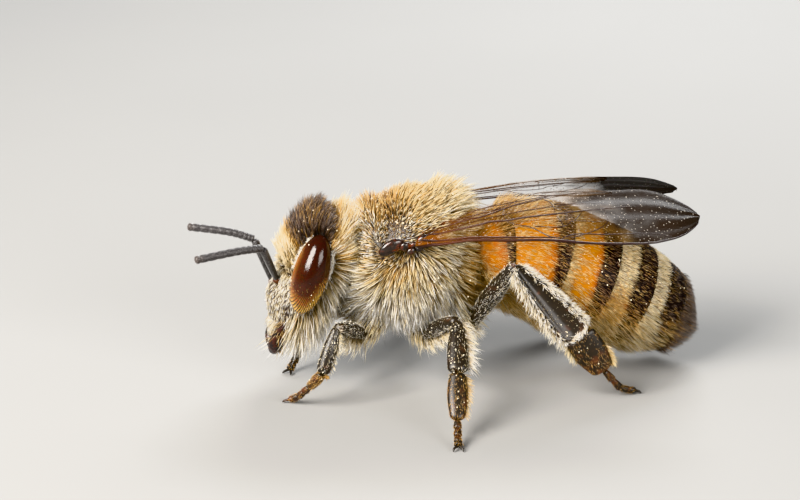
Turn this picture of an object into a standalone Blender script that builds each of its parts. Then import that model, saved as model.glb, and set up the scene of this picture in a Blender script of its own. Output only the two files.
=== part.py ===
"""A worker honey bee at life size, standing still with its wings folded over its back.

The bee faces -X, its left side is -Y and its feet stand on Z = 0.  Lengths below are in
millimetres and become metres when a mesh is made.  Every solid reaches to the tips of the
hair on its part of the body.
"""
import math

import bmesh
import bpy
from mathutils import Matrix, Vector

MM = 0.001                  # metres in a millimetre
GAP = 0.03                  # clearance between neighbouring pieces
LEFT, RIGHT = -1, 1

# Driving dimensions, in millimetres
HEAD_CENTRE = Vector((-3.07, 0.0, 3.70))
HEAD_TILT = math.radians(21.8)          # the crown leans back from the vertical
EYE_RADII = (0.54, 0.60, 1.27)          # fore and aft, sideways, along the head
THORAX_CENTRE = Vector((0.0, 0.0, 3.86))
THORAX_RADII = (1.72, 2.32, 2.26)
LIMB_THICKNESS = 0.50                   # least thickness of a leg or feeler
WING_THICKNESS = 0.50
WING_ROOT = Vector((-0.15, -1.80, 5.02))
WING_ROOF = math.radians(23.0)          # slope from the outer edge up to the back
WING_YAW = math.radians(6.5)            # outward from straight back
WING_PITCH = math.radians(-1.8)
TOE_HEIGHT = 0.16                       # axis of the last foot joint above the ground

bpy.ops.object.select_all(action="DESELECT")
for old in list(bpy.data.objects):
    bpy.data.objects.remove(old)
for old in list(bpy.data.collections):
    bpy.data.collections.remove(old)

parts = bpy.data.collections.new("honey_bee")
tools = bpy.data.collections.new("cutters")
bpy.context.scene.collection.children.link(parts)
bpy.context.scene.collection.children.link(tools)
ground = bpy.data.objects.new("ground_centre", None)
parts.objects.link(ground)


# ---------------------------------------------------------------- helpers

def material(name, colour, roughness):
    """A plain finish for one part of the body."""
    made = bpy.data.materials.new(name)
    made.use_nodes = True
    shader = made.node_tree.nodes["Principled BSDF"]
    shader.inputs["Base Color"].default_value = (*colour, 1.0)
    shader.inputs["Roughness"].default_value = roughness
    shader.inputs["Metallic"].default_value = 0.0
    made.diffuse_color = (*colour, 1.0)
    return made


FINISH = {
    "hair": ((0.50, 0.40, 0.24), 0.8),
    "face": ((0.42, 0.35, 0.24), 0.8),
    "eye": ((0.09, 0.02, 0.01), 0.15),
    "feeler": ((0.04, 0.04, 0.05), 0.5),
    "jaw": ((0.10, 0.03, 0.015), 0.3),
    "leg": ((0.06, 0.035, 0.02), 0.4),
    "wing": ((0.20, 0.13, 0.07), 0.3),
    "amber": ((0.62, 0.26, 0.04), 0.35),
    "tail": ((0.14, 0.10, 0.07), 0.4),
}


def piece(name, mesh, finish):
    """Put a mesh in the bee as a named piece with its own material."""
    colour, roughness = FINISH[finish]
    mesh.materials.clear()
    mesh.materials.append(material(name + "_finish", colour, roughness))
    mesh.shade_smooth()
    mesh.set_sharp_from_angle(angle=math.radians(50))
    made = bpy.data.objects.new(name, mesh)
    parts.objects.link(made)
    made.parent = ground
    return made


def mesh_of(bm, name):
    """Turn a bmesh in millimetres into a mesh in metres with its faces pointing out."""
    bmesh.ops.recalc_face_normals(bm, faces=bm.faces)
    bmesh.ops.scale(bm, vec=(MM, MM, MM), verts=bm.verts)
    mesh = bpy.data.meshes.new(name)
    bm.to_mesh(mesh)
    bm.free()
    return mesh


def grown(name, source, gap):
    """A cutter: the source's own mesh, moved out along its normals by the gap."""
    bm = bmesh.new()
    bm.from_mesh(source.data)
    bm.normal_update()
    shifts = [(vert, vert.normal * gap * MM) for vert in bm.verts]
    for vert, shift in shifts:
        vert.co += shift
    mesh = bpy.data.meshes.new(name)
    bm.to_mesh(mesh)
    bm.free()
    made = bpy.data.objects.new(name, mesh)
    made.matrix_world = source.matrix_world.copy()
    tools.objects.link(made)
    made.parent = ground
    made.hide_render = True
    made.display_type = "WIRE"
    return made


def cut_by(target, *neighbours, gap=GAP):
    """Take each neighbour, grown by the gap, out of the target."""
    for neighbour in neighbours:
        label = f"room_for_{neighbour.name}_{gap:.2f}"
        tool = bpy.data.objects.get(label) or grown(label, neighbour, gap)
        cut = target.modifiers.new("clear_" + neighbour.name, "BOOLEAN")
        cut.operation = "DIFFERENCE"
        cut.solver = "EXACT"
        cut.object = tool


def ring(bm, centre, side, rise, back_rise, width, sides):
    """One elliptic ring; rise and back_rise are its two half heights."""
    verts = []
    for step in range(sides):
        turn = 2 * math.pi * step / sides
        lift = rise if math.sin(turn) > 0 else back_rise
        verts.append(bm.verts.new(centre + width * math.cos(turn) * side
                                  + lift * math.sin(turn)))
    return verts


def skin_rings(bm, rings):
    """Join rings into a tube and close both ends."""
    sides = len(rings[0])
    for low, high in zip(rings, rings[1:]):
        for step in range(sides):
            nxt = (step + 1) % sides
            bm.faces.new((low[step], low[nxt], high[nxt], high[step]))
    bm.faces.new(list(reversed(rings[0])))
    bm.faces.new(rings[-1])


def ellipsoid(name, centre, radii, finish, segments=14, rings=9, turn=Matrix()):
    """A ball with three radii; turn is its rotation."""
    bm = bmesh.new()
    bmesh.ops.create_uvsphere(bm, u_segments=segments, v_segments=rings, radius=1.0)
    shape = Matrix.Translation(centre) @ turn @ Matrix.Diagonal((*radii, 1.0))
    bmesh.ops.transform(bm, matrix=shape, verts=bm.verts)
    return piece(name, mesh_of(bm, name), finish)


def curve_point(points, share):
    """A point on the smooth curve through the given points, share running 0 to 1."""
    spans = len(points) - 1
    place = min(share * spans, spans - 1e-6)
    index = int(place)
    t = place - index
    before = points[max(index - 1, 0)]
    here, there = points[index], points[index + 1]
    after = points[min(index + 2, spans)]
    return 0.5 * ((2 * here) + (there - before) * t
                  + (2 * before - 5 * here + 4 * there - after) * t ** 2
                  + (3 * here - before - 3 * there + after) * t ** 3)


ROUND_END = ((0.0, 0.50), (0.09, 0.97))


def limb(name, points, widths, thicknesses, finish, wide=Vector((0, 1, 0)), sides=8,
         stations=(0.27, 0.5, 0.73)):
    """A leg or feeler joint: a tube with rounded ends along a smooth path.

    Widths and thicknesses are given at the start, middle and end; wide is roughly the way
    that the width is measured.
    """
    points = [Vector(point) for point in points]
    ends = [(share, size) for share, size in ROUND_END]
    ends += [(share, 1.0) for share in stations]
    ends += [(1.0 - share, size) for share, size in reversed(ROUND_END)]
    bm = bmesh.new()
    rings = []
    for share, size in ends:
        here = curve_point(points, share)
        ahead = curve_point(points, min(share + 0.02, 1.0))
        behind = curve_point(points, max(share - 0.02, 0.0))
        along = (ahead - behind).normalized()
        thick = along.cross(wide).normalized()
        across = thick.cross(along).normalized()
        width = curve_value(widths, share) * size / 2
        depth = curve_value(thicknesses, share) * size / 2
        rings.append(ring(bm, here, across, thick * depth, thick * depth, width, sides))
    skin_rings(bm, rings)
    return piece(name, mesh_of(bm, name), finish)


def curve_value(values, share):
    """A number between the given ones, share running 0 to 1."""
    return curve_point([Vector((value, 0, 0)) for value in values], share).x


def mirrored(point, side):
    """A left-side point for the given side of the body."""
    return Vector((point[0], point[1] * -side, point[2]))


def sided(name, side):
    return f"{name}_{'left' if side == LEFT else 'right'}"


# ---------------------------------------------------------------- thorax

mesothorax = ellipsoid("mesothorax", THORAX_CENTRE, THORAX_RADII, "hair", 20, 12)
pronotum = ellipsoid("pronotum", Vector((-1.12, 0, 3.95)), (0.85, 1.90, 1.80), "hair", 18, 9)
scutellum = ellipsoid("scutellum", Vector((0.95, 0, 5.12)), (1.00, 1.18, 1.14), "hair", 14, 9)
propodeum = ellipsoid("propodeum", Vector((1.12, 0, 3.45)), (0.86, 1.85, 1.65), "hair", 18, 9)
cut_by(pronotum, mesothorax)
cut_by(scutellum, mesothorax)
cut_by(propodeum, mesothorax, scutellum)

# ---------------------------------------------------------------- head

HEAD_UP = Vector((math.sin(HEAD_TILT), 0, math.cos(HEAD_TILT)))
HEAD_FRONT = Vector((-math.cos(HEAD_TILT), 0, math.sin(HEAD_TILT)))

# height on the head's long axis, half width, reach to the front, reach to the back
HEAD_STATIONS = (
    (-2.05, 0.56, 0.46, 0.24),
    (-1.60, 1.02, 0.74, 0.60),
    (-1.05, 1.36, 0.86, 0.84),
    (-0.40, 1.60, 0.88, 1.02),
    (0.30, 1.72, 0.84, 1.16),
    (0.95, 1.64, 0.78, 1.12),
    (1.45, 1.34, 0.68, 0.86),
    (1.80, 0.90, 0.52, 0.60),
    (1.98, 0.42, 0.28, 0.28),
)


def head_point(ahead, sideways, above):
    """A point given from the head's centre along its own front, side and long axis."""
    return HEAD_CENTRE + HEAD_FRONT * ahead + Vector((0, sideways, 0)) + HEAD_UP * above


bm = bmesh.new()
head_rings = [ring(bm, HEAD_CENTRE + HEAD_UP * height, Vector((0, 1, 0)), HEAD_FRONT * front,
                   HEAD_FRONT * back, width, 18) for height, width, front, back in HEAD_STATIONS]
skin_rings(bm, head_rings)
head = piece("head", mesh_of(bm, "head"), "face")
cut_by(head, pronotum)

labrum = ellipsoid("labrum", head_point(0.50, 0, -1.93), (0.26, 0.56, 0.30), "jaw", 12, 7)
cut_by(labrum, head)

proboscis = limb("proboscis", [head_point(0.10, 0, -2.38), head_point(-0.45, 0, -2.18),
                               head_point(-0.95, 0, -1.62)], (0.50, 0.55, 0.50),
                 (0.50, 0.55, 0.50), "jaw")
cut_by(proboscis, head, labrum)

for side in (LEFT, RIGHT):
    turn = Matrix.Rotation(HEAD_TILT, 4, "Y") @ Matrix.Rotation(math.radians(5 * side), 4, "X")
    eye = ellipsoid(sided("eye", side), head_point(0.24, 1.36 * side, 0.24), EYE_RADII, "eye",
                    14, 9, turn)
    cut_by(head, eye)
    jaw_base, jaw_tip = head_point(0.44, 0.58 * side, -1.86), head_point(0.10, 0.33 * side, -2.86)
    jaw_bend = head_point(0.36, 0.56 * side, -2.40)
    mandible = limb(sided("mandible", side), [jaw_base, jaw_bend, jaw_tip],
                    (0.56, 0.50, 0.42), (0.50, 0.46, 0.40), "jaw")
    cut_by(mandible, head, labrum, proboscis)

# feeler joints: socket, elbow, middle of the lash, tip
FEELERS = {
    LEFT: ((-4.10, -0.36, 3.40), (-4.36, -0.88, 4.70), (-5.45, -1.20, 4.74), (-6.62, -1.42, 4.55)),
    RIGHT: ((-4.12, 0.34, 3.44), (-4.46, 0.52, 4.50), (-5.50, 0.80, 4.74), (-6.62, 1.02, 4.76)),
}
for side, (socket, elbow, middle, tip) in FEELERS.items():
    scape = limb(sided("antenna_scape", side), [socket, elbow], (LIMB_THICKNESS,) * 2,
                 (LIMB_THICKNESS,) * 2, "feeler", stations=(0.5,))
    lash = limb(sided("antenna_flagellum", side), [elbow, middle, tip], (LIMB_THICKNESS,) * 3,
                (LIMB_THICKNESS,) * 3, "feeler")
    cut_by(scape, head)
    cut_by(lash, scape)

# ---------------------------------------------------------------- wings

# Outlines lie in the wing's own plane: along the wing, then from the outer edge inward.
FOREWING = ((0.0, 0.02), (1.2, 0.0), (3.4, -0.04), (5.4, 0.0), (6.9, 0.14), (7.9, 0.52),
            (8.52, 1.14), (8.36, 1.76), (7.7, 2.26), (6.9, 2.50), (6.30, 2.44), (5.8, 1.98),
            (4.9, 1.80), (3.6, 1.40), (2.3, 0.92), (1.1, 0.56), (0.0, 0.42))
HINDWING = ((0.95, 0.60), (2.3, 1.00), (3.6, 1.48), (4.9, 1.88), (5.65, 2.08), (5.95, 2.34),
            (5.6, 2.48), (4.7, 2.40), (3.6, 2.18), (2.6, 1.74), (1.7, 1.24), (0.95, 0.98))


def plate(name, outline, side, finish):
    """A wing: a flat outline extruded to its thickness, in the sloping plane of the roof."""
    root = mirrored(WING_ROOT, side)
    along = Vector((math.cos(WING_YAW) * math.cos(WING_PITCH), math.sin(WING_YAW) * side,
                    math.sin(WING_PITCH))).normalized()
    inward = Vector((0, -side * math.cos(WING_ROOF), math.sin(WING_ROOF)))
    inward = (inward - along * inward.dot(along)).normalized()
    across = inward * -side
    frame = Matrix((along, across, along.cross(across))).transposed().to_4x4()
    curve = bpy.data.curves.new(name + "_outline", "CURVE")
    curve.dimensions = "2D"
    curve.fill_mode = "BOTH"
    curve.extrude = WING_THICKNESS / 2
    curve.resolution_u = 2
    spline = curve.splines.new("BEZIER")
    spline.bezier_points.add(len(outline) - 1)
    for knot, (reach, inset) in zip(spline.bezier_points, outline):
        knot.co = (reach, inset * -side, 0)
        knot.handle_left_type = knot.handle_right_type = "AUTO"
    spline.use_cyclic_u = True
    drawn = bpy.data.objects.new(name + "_outline", curve)
    tools.objects.link(drawn)
    bpy.context.view_layer.update()
    flat = bpy.data.meshes.new_from_object(
        drawn.evaluated_get(bpy.context.evaluated_depsgraph_get()))
    bpy.data.objects.remove(drawn)
    bm = bmesh.new()
    bm.from_mesh(flat)
    bpy.data.meshes.remove(flat)
    bmesh.ops.remove_doubles(bm, verts=bm.verts, dist=1e-5)
    bmesh.ops.transform(bm, matrix=Matrix.Translation(root) @ frame, verts=bm.verts)
    return piece(name, mesh_of(bm, name), finish)


for side in (LEFT, RIGHT):
    forewing = plate(sided("forewing", side), FOREWING, side, "wing")
    hindwing = plate(sided("hindwing", side), HINDWING, side, "wing")
    tegula = ellipsoid(sided("tegula", side), mirrored((-0.42, -1.98, 4.74), side),
                       (0.44, 0.27, 0.30), "jaw", 12, 7)
    cut_by(tegula, forewing)
    cut_by(hindwing, forewing, scutellum)
    cut_by(mesothorax, forewing, hindwing, tegula)

# ---------------------------------------------------------------- abdomen

# the line through the middle of the abdomen, and its half width and half height there
ABDOMEN_LINE = [Vector(point) for point in (
    (1.72, 0, 3.62), (2.55, 0, 3.72), (3.95, 0, 3.50), (5.40, 0, 2.88), (6.80, 0, 2.20),
    (8.00, 0, 1.62), (8.78, 0, 1.28))]
ABDOMEN_WIDTH = (0.40, 1.55, 2.00, 2.02, 1.78, 1.22, 0.26)
ABDOMEN_HEIGHT = (0.36, 1.40, 1.86, 1.86, 1.66, 1.18, 0.26)
TERGITE_ENDS = (0.0, 0.205, 0.368, 0.525, 0.670, 0.830, 1.0)
RIM_STEP = 0.97             # each plate's front edge is tucked inside the one before it


def abdomen_ring(bm, share, size):
    """A ring round the abdomen, square to its line."""
    here = curve_point(ABDOMEN_LINE, share)
    ahead = curve_point(ABDOMEN_LINE, min(share + 0.01, 1.0))
    behind = curve_point(ABDOMEN_LINE, max(share - 0.01, 0.0))
    along = (ahead - behind).normalized()
    rise = Vector((0, 1, 0)).cross(along) * -1
    height = curve_value(ABDOMEN_HEIGHT, share) * size
    width = curve_value(ABDOMEN_WIDTH, share) * size
    return ring(bm, here, Vector((0, 1, 0)), rise * height, rise * height, width, 18)


line_length = sum((b - a).length for a, b in zip(ABDOMEN_LINE, ABDOMEN_LINE[1:]))
half_gap = GAP / 2 / line_length
tergites = []
for number, (start, end) in enumerate(zip(TERGITE_ENDS, TERGITE_ENDS[1:]), 1):
    start, end = start + half_gap * (number > 1), end - half_gap * (number < 6)
    bm = bmesh.new()
    steps = 3
    shares = [start + (end - start) * step / steps for step in range(steps + 1)]
    sizes = [RIM_STEP if number > 1 else 1.0] + [1.0] * steps
    skin_rings(bm, [abdomen_ring(bm, share, size) for share, size in zip(shares, sizes)])
    name = f"tergite_{number}"
    tergites.append(piece(name, mesh_of(bm, name), "amber" if number < 5 else "tail"))
cut_by(tergites[0], propodeum, scutellum)

# ---------------------------------------------------------------- legs

# Each leg's joints: hip, end of the hip joint, knee, ankle, heel, toe base, toe tip
LEG_JOINTS = {
    "fore": ((-1.22, -0.62, 2.30), (-1.30, -0.78, 1.62), (-2.52, -1.92, 2.44),
             (-2.98, -2.30, 1.10), (-3.34, -2.10, 0.66), (-3.62, -1.84, TOE_HEIGHT + 0.08),
             (-3.86, -1.62, TOE_HEIGHT)),
    "mid": ((0.18, -0.66, 2.30), (0.22, -0.95, 1.58), (0.98, -2.72, 2.76),
            (0.74, -4.02, 1.60), (0.56, -5.02, 0.56), (0.50, -5.40, TOE_HEIGHT + 0.08),
            (0.46, -5.72, TOE_HEIGHT)),
    "hind": ((1.30, -0.66, 2.42), (1.62, -0.98, 1.80), (2.72, -2.55, 4.36),
             (4.58, -2.92, 2.06), (5.36, -2.90, 0.92), (5.98, -2.66, TOE_HEIGHT + 0.08),
             (6.32, -2.50, TOE_HEIGHT)),
}
# widths at the start, middle and end, then thicknesses, of each joint of the leg
LEG_SIZES = {
    "fore": {"coxa": ((0.80, 0.80, 0.62), (0.80, 0.76, 0.60)),
             "femur": ((0.50, 0.66, 0.52), (0.50, 0.60, 0.50)),
             "tibia": ((0.50, 0.62, 0.60), (0.50, 0.56, 0.54)),
             "basitarsus": ((0.52, 0.54, 0.50), (0.50, 0.50, 0.50)),
             "tarsus": ((0.50, 0.50, 0.52), (0.50, 0.50, 0.50))},
    "mid": {"coxa": ((0.86, 0.82, 0.62), (0.86, 0.80, 0.62)),
            "femur": ((0.52, 0.72, 0.54), (0.50, 0.64, 0.52)),
            "tibia": ((0.54, 0.74, 0.76), (0.50, 0.56, 0.56)),
            "basitarsus": ((0.66, 0.76, 0.62), (0.52, 0.54, 0.50)),
            "tarsus": ((0.50, 0.50, 0.52), (0.50, 0.50, 0.50))},
    "hind": {"coxa": ((0.90, 0.86, 0.64), (0.90, 0.84, 0.64)),
             "femur": ((0.54, 0.82, 0.60), (0.52, 0.68, 0.54)),
             "tibia": ((0.52, 0.98, 1.28), (0.50, 0.62, 0.58)),
             "basitarsus": ((1.12, 1.16, 0.92), (0.54, 0.56, 0.52)),
             "tarsus": ((0.54, 0.50, 0.52), (0.50, 0.50, 0.50))},
}
LEG_WIDE = Vector((1, 0, 0))
RIGHT_FORELEG = ((-1.22, -0.62, 2.30), (-1.30, -0.80, 1.62), (-2.60, -1.74, 2.36),
                 (-3.02, -1.36, 0.98), (-3.24, -1.06, 0.54), (-3.44, -0.82, TOE_HEIGHT + 0.06),
                 (-3.62, -0.62, TOE_HEIGHT))


def floor_block():
    """A block whose top is the ground, which gives every foot its flat sole."""
    bm = bmesh.new()
    bmesh.ops.create_cube(bm, size=1.0)
    bmesh.ops.transform(bm, matrix=Matrix.Translation((0, 0, -1)) @ Matrix.Diagonal((24, 24, 2, 1)),
                        verts=bm.verts)
    made = bpy.data.objects.new("ground_block", mesh_of(bm, "ground_block"))
    tools.objects.link(made)
    made.parent = ground
    made.hide_render = True
    made.display_type = "WIRE"
    return made


def leg(pair, side, joints):
    """Five joints from the hip to the toe, each hollowed where the one before it sits."""
    hip, socket, knee, ankle, heel, toe_base, toe = [mirrored(joint, side) for joint in joints]
    runs = {"coxa": [hip, socket], "femur": [socket, (socket + knee) / 2, knee],
            "tibia": [knee, (knee + ankle) / 2, ankle],
            "basitarsus": [ankle, (ankle + heel) / 2, heel], "tarsus": [heel, toe_base, toe]}
    made = {}
    for joint, path in runs.items():
        widths, thicknesses = LEG_SIZES[pair][joint]
        made[joint] = limb(sided(f"{pair}leg_{joint}", side), path, widths, thicknesses, "leg",
                           LEG_WIDE)
    names = list(made)
    for before, after in zip(names, names[1:]):
        cut_by(made[after], made[before])
    cut_by(made["coxa"], mesothorax, pronotum, propodeum)
    touched = {"fore": (mesothorax, pronotum), "mid": (mesothorax, propodeum),
               "hind": (mesothorax, propodeum, *tergites[:2])}
    for body in touched[pair]:
        cut_by(body, made["femur"])
    sole = made["tarsus"].modifiers.new("flat_sole", "BOOLEAN")
    sole.operation = "DIFFERENCE"
    sole.solver = "EXACT"
    sole.object = sole_block


sole_block = floor_block()
for pair, joints in LEG_JOINTS.items():
    for side in (LEFT, RIGHT):
        leg(pair, side, RIGHT_FORELEG if (pair, side) == ("fore", RIGHT) else joints)

# ---------------------------------------------------------------- origin

# The origin goes to the middle of the ground that the bee covers.
bpy.context.view_layer.update()
depsgraph = bpy.context.evaluated_depsgraph_get()
corners = []
for made in parts.objects:
    if made.type == "MESH":
        seen = made.evaluated_get(depsgraph)
        corners += [vert.co for vert in seen.to_mesh().vertices]
low = [min(corner[axis] for corner in corners) for axis in range(3)]
high = [max(corner[axis] for corner in corners) for axis in range(3)]
ground.location = (-(low[0] + high[0]) / 2, -(low[1] + high[1]) / 2, 0)
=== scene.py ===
"""A life-size worker honey bee, standing with its wings folded: the finished surface.

Lengths are in millimetres from the bee's own zero, which lies on the ground below the
middle of the thorax.  The bee faces -X and its left side is -Y.
"""
import math

import bpy
import numpy as np
from mathutils import Matrix, Vector, kdtree


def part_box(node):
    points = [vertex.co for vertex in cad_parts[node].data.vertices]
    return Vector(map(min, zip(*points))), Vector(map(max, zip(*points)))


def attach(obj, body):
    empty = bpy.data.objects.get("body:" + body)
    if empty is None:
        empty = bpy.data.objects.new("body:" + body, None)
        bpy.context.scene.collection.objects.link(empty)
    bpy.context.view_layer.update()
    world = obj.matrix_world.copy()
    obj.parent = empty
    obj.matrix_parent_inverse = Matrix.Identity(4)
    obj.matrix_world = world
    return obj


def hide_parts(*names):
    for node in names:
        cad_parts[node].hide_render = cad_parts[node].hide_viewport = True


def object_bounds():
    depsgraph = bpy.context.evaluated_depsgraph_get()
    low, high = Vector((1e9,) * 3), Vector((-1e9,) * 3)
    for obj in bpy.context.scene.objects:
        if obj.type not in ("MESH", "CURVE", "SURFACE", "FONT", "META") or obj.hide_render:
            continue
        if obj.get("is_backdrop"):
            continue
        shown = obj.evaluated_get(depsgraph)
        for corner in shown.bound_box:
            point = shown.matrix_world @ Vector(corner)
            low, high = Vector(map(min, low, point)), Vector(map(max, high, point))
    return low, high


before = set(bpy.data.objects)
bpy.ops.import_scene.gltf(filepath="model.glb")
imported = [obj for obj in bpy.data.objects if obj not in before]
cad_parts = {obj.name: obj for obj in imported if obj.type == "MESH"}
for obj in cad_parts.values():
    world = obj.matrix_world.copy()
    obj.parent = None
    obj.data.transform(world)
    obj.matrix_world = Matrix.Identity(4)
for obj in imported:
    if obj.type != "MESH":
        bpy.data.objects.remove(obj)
cad_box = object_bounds()

# ---------------------------------------------------------------- studio
# A pale table under soft boxes: a large one ahead of the bee on its left, a low fill beside
# the camera and a strip behind that lights the edges of the hair.

MM = 0.001
chest_low, chest_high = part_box("mesothorax")
ZERO = np.array([(chest_low.x + chest_high.x) / 2, 0.0, 0.0])
LEFT, RIGHT = -1, 1
SIDES = ((LEFT, "left"), (RIGHT, "right"))


def place(point):
    """A point in millimetres from the bee's zero, as a vector in metres."""
    return Vector(ZERO + np.array(point, float) * MM)


def linear(code):
    """An sRGB hex colour as linear red, green and blue, with an alpha of 1."""
    parts = [int(code[i:i + 2], 16) / 255 for i in (1, 3, 5)]
    return (*[c / 12.92 if c <= 0.04045 else ((c + 0.055) / 1.055) ** 2.4 for c in parts], 1.0)


def feed(node, inputs):
    """Set or link a node's inputs; a whole node is linked by its first output."""
    for name, value in inputs.items():
        if isinstance(value, bpy.types.Node):
            value = value.outputs[0]
        if isinstance(value, bpy.types.NodeSocket):
            node.id_data.links.new(value, node.inputs[name])
        else:
            node.inputs[name].default_value = value


def add(tree, kind, inputs=None, stops=(), **settings):
    """Add a shader node with its settings, its inputs and, on a ramp, its colour stops."""
    made = tree.nodes.new("ShaderNode" + kind)
    for name, value in settings.items():
        setattr(made, name, value)
    feed(made, inputs or {})
    for position, colour in stops[1:-1]:
        made.color_ramp.elements.new(position).color = linear(colour)
    for end in (0, -1) if stops else ():
        made.color_ramp.elements[end].position = stops[end][0]
        made.color_ramp.elements[end].color = linear(stops[end][1])
    return made


def finish_of(name, roughness, ior=1.5, **constants):
    """A new material with one Principled shader; constants are set on its own sockets."""
    made = bpy.data.materials.new(name)
    made.use_nodes = True
    shader = made.node_tree.nodes["Principled BSDF"]
    feed(shader, {"Roughness": roughness, "IOR": ior})
    feed(shader, {socket.replace("_", " "): value for socket, value in constants.items()})
    return made, made.node_tree, shader


def soft_box(name, spot, aim, size, power, colour):
    """A rectangular studio light, all in millimetres, facing its aim."""
    light = bpy.data.lights.new(name, "AREA")
    light.shape = "RECTANGLE"
    light.size, light.size_y = size[0] * MM, size[1] * MM
    light.energy = power
    light.color = linear(colour)[:3]
    made = bpy.data.objects.new(name, light)
    bpy.context.scene.collection.objects.link(made)
    made.location = place(spot)
    made.rotation_euler = (place(aim) - place(spot)).to_track_quat("-Z", "Y").to_euler()


AIM = (-0.29, 0.10, 3.99)           # the point that the camera looks at
CAMERA_TURN, CAMERA_RISE = math.radians(-9.0), math.radians(20.0)
CAMERA_REACH = 79.6
lens = bpy.data.cameras.new("camera")
lens.lens, lens.sensor_width = 120.0, 36.0
lens.clip_start, lens.clip_end = 0.002, 5.0
camera = bpy.data.objects.new("camera", lens)
bpy.context.scene.collection.objects.link(camera)
bpy.context.scene.camera = camera
camera_back = Vector((math.sin(CAMERA_TURN) * math.cos(CAMERA_RISE),
                      -math.cos(CAMERA_TURN) * math.cos(CAMERA_RISE), math.sin(CAMERA_RISE)))
camera.location = place(AIM) + camera_back * CAMERA_REACH * MM
camera.rotation_euler = camera_back.to_track_quat("Z", "Y").to_euler()

soft_box("key", (-62, -42, 58), (0, 0, 3.5), (54, 64), 0.268, "#fff9f2")
soft_box("fill", (46, -70, 34), (0, 0, 3.5), (50, 40), 0.062, "#fbf7f2")
soft_box("rim", (34, 62, 56), (0, 0, 4.0), (50, 24), 0.090, "#ffffff")
world = bpy.data.worlds.new("studio")
bpy.context.scene.world = world
world.use_nodes = True
feed(world.node_tree.nodes["Background"], {"Color": linear("#d9dde0"), "Strength": 0.32})
bpy.context.scene.view_settings.view_transform = "Khronos PBR Neutral"

# uncoated paper: even, pale and without a gleam
bpy.ops.mesh.primitive_plane_add(size=900 * MM, location=place((0, 0, 0)))
table = bpy.context.object
table.name = "table"
paper, tree, shader = finish_of("matt_paper", 0.9)
grain = add(tree, "TexNoise", {"Scale": 40.0, "Detail": 3.0})
feed(shader, {"Base Color": add(tree, "ValToRGB", {"Fac": grain},
                                ((0.0, "#8f8f8e"), (1.0, "#969695")))})
table.data.materials.append(paper)
table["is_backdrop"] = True

# ---------------------------------------------------------------- head
# The head is a hard lens-shaped capsule of dark cuticle under a coat of hair.  It is
# drawn as rings round the head's long axis, which leans back at the crown.

HEAD_CENTRE = np.array([-3.07, 0.0, 3.70])
HEAD_TILT = math.radians(21.8)
HEAD_UP = np.array([math.sin(HEAD_TILT), 0.0, math.cos(HEAD_TILT)])
HEAD_FRONT = np.array([-math.cos(HEAD_TILT), 0.0, math.sin(HEAD_TILT)])
ACROSS = np.array([0.0, 1.0, 0.0])
HEAD_RINGS, HEAD_SIDES = 56, 64

# height on the long axis, half width, reach to the front, reach to the back
HEAD_STATIONS = np.array((
    (-2.00, 0.34, 0.30, 0.06), (-1.88, 0.60, 0.48, 0.20), (-1.55, 0.90, 0.67, 0.36),
    (-1.05, 1.20, 0.77, 0.48), (-0.40, 1.46, 0.77, 0.60), (0.30, 1.58, 0.73, 0.68),
    (0.95, 1.48, 0.66, 0.64), (1.35, 1.20, 0.55, 0.53), (1.58, 0.80, 0.40, 0.38),
    (1.68, 0.40, 0.22, 0.20), (1.70, 0.02, 0.02, 0.02)))


def smooth_through(values, shares):
    """Catmull-Rom values at the given shares, 0 to 1, of the rows in values."""
    values = np.asarray(values, float)
    if values.ndim == 1:
        values = values[:, None]
    place_on = np.clip(np.asarray(shares, float), 0, 1) * (len(values) - 1)
    index = np.minimum(place_on.astype(int), len(values) - 2)
    t = (place_on - index)[:, None]
    before = values[np.maximum(index - 1, 0)]
    here, there = values[index], values[index + 1]
    after = values[np.minimum(index + 2, len(values) - 1)]
    return 0.5 * (2 * here + (there - before) * t
                  + (2 * before - 5 * here + 4 * there - after) * t ** 2
                  + (3 * here - before - 3 * there + after) * t ** 3)


def unit(vectors):
    """Vectors scaled to length one."""
    return vectors / np.maximum(np.linalg.norm(vectors, axis=-1, keepdims=True), 1e-9)


def ring_faces(rings, sides):
    """Quads between rings of points, with a cap at each end."""
    near = np.arange(sides)
    beside = (near + 1) % sides
    faces = []
    for low in range(0, (rings - 1) * sides, sides):
        high = low + sides
        faces += np.stack([low + near, low + beside, high + beside, high + near], 1).tolist()
    faces.append(list(range(sides - 1, -1, -1)))
    faces.append(list(range((rings - 1) * sides, rings * sides)))
    return faces


def build(name, points, faces, material, slot, *nodes):
    """A smooth piece from points in millimetres, in the place of the given CAD nodes."""
    mesh = bpy.data.meshes.new(name)
    mesh.from_pydata((ZERO + np.asarray(points) * MM).tolist(), [], faces)
    mesh.update()
    mesh.shade_smooth()
    mesh.materials.append(material)
    made = bpy.data.objects.new(name, mesh)
    bpy.context.scene.collection.objects.link(made)
    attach(made, "root")
    if nodes:
        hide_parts(*nodes)
    return made


def head_point(ahead, sideways, above):
    """A point from the head's centre, along its own front, side and long axis."""
    return HEAD_CENTRE + HEAD_FRONT * ahead + ACROSS * sideways + HEAD_UP * above


def head_surface(height_shares, turns):
    """Points of the capsule; turns run from the left side over the front."""
    height, width, front, back = smooth_through(HEAD_STATIONS, height_shares).T
    reach = np.where(np.sin(turns) > 0, front, back)
    ahead = reach * np.sin(turns)
    shield = np.exp(-((height + 1.15) / 0.42) ** 2 - (np.cos(turns) * width / 0.55) ** 2)
    ahead = ahead + 0.10 * shield * (np.sin(turns) > 0)
    return (HEAD_CENTRE + ahead[:, None] * HEAD_FRONT
            + (width * np.cos(turns))[:, None] * -ACROSS + height[:, None] * HEAD_UP)


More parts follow.
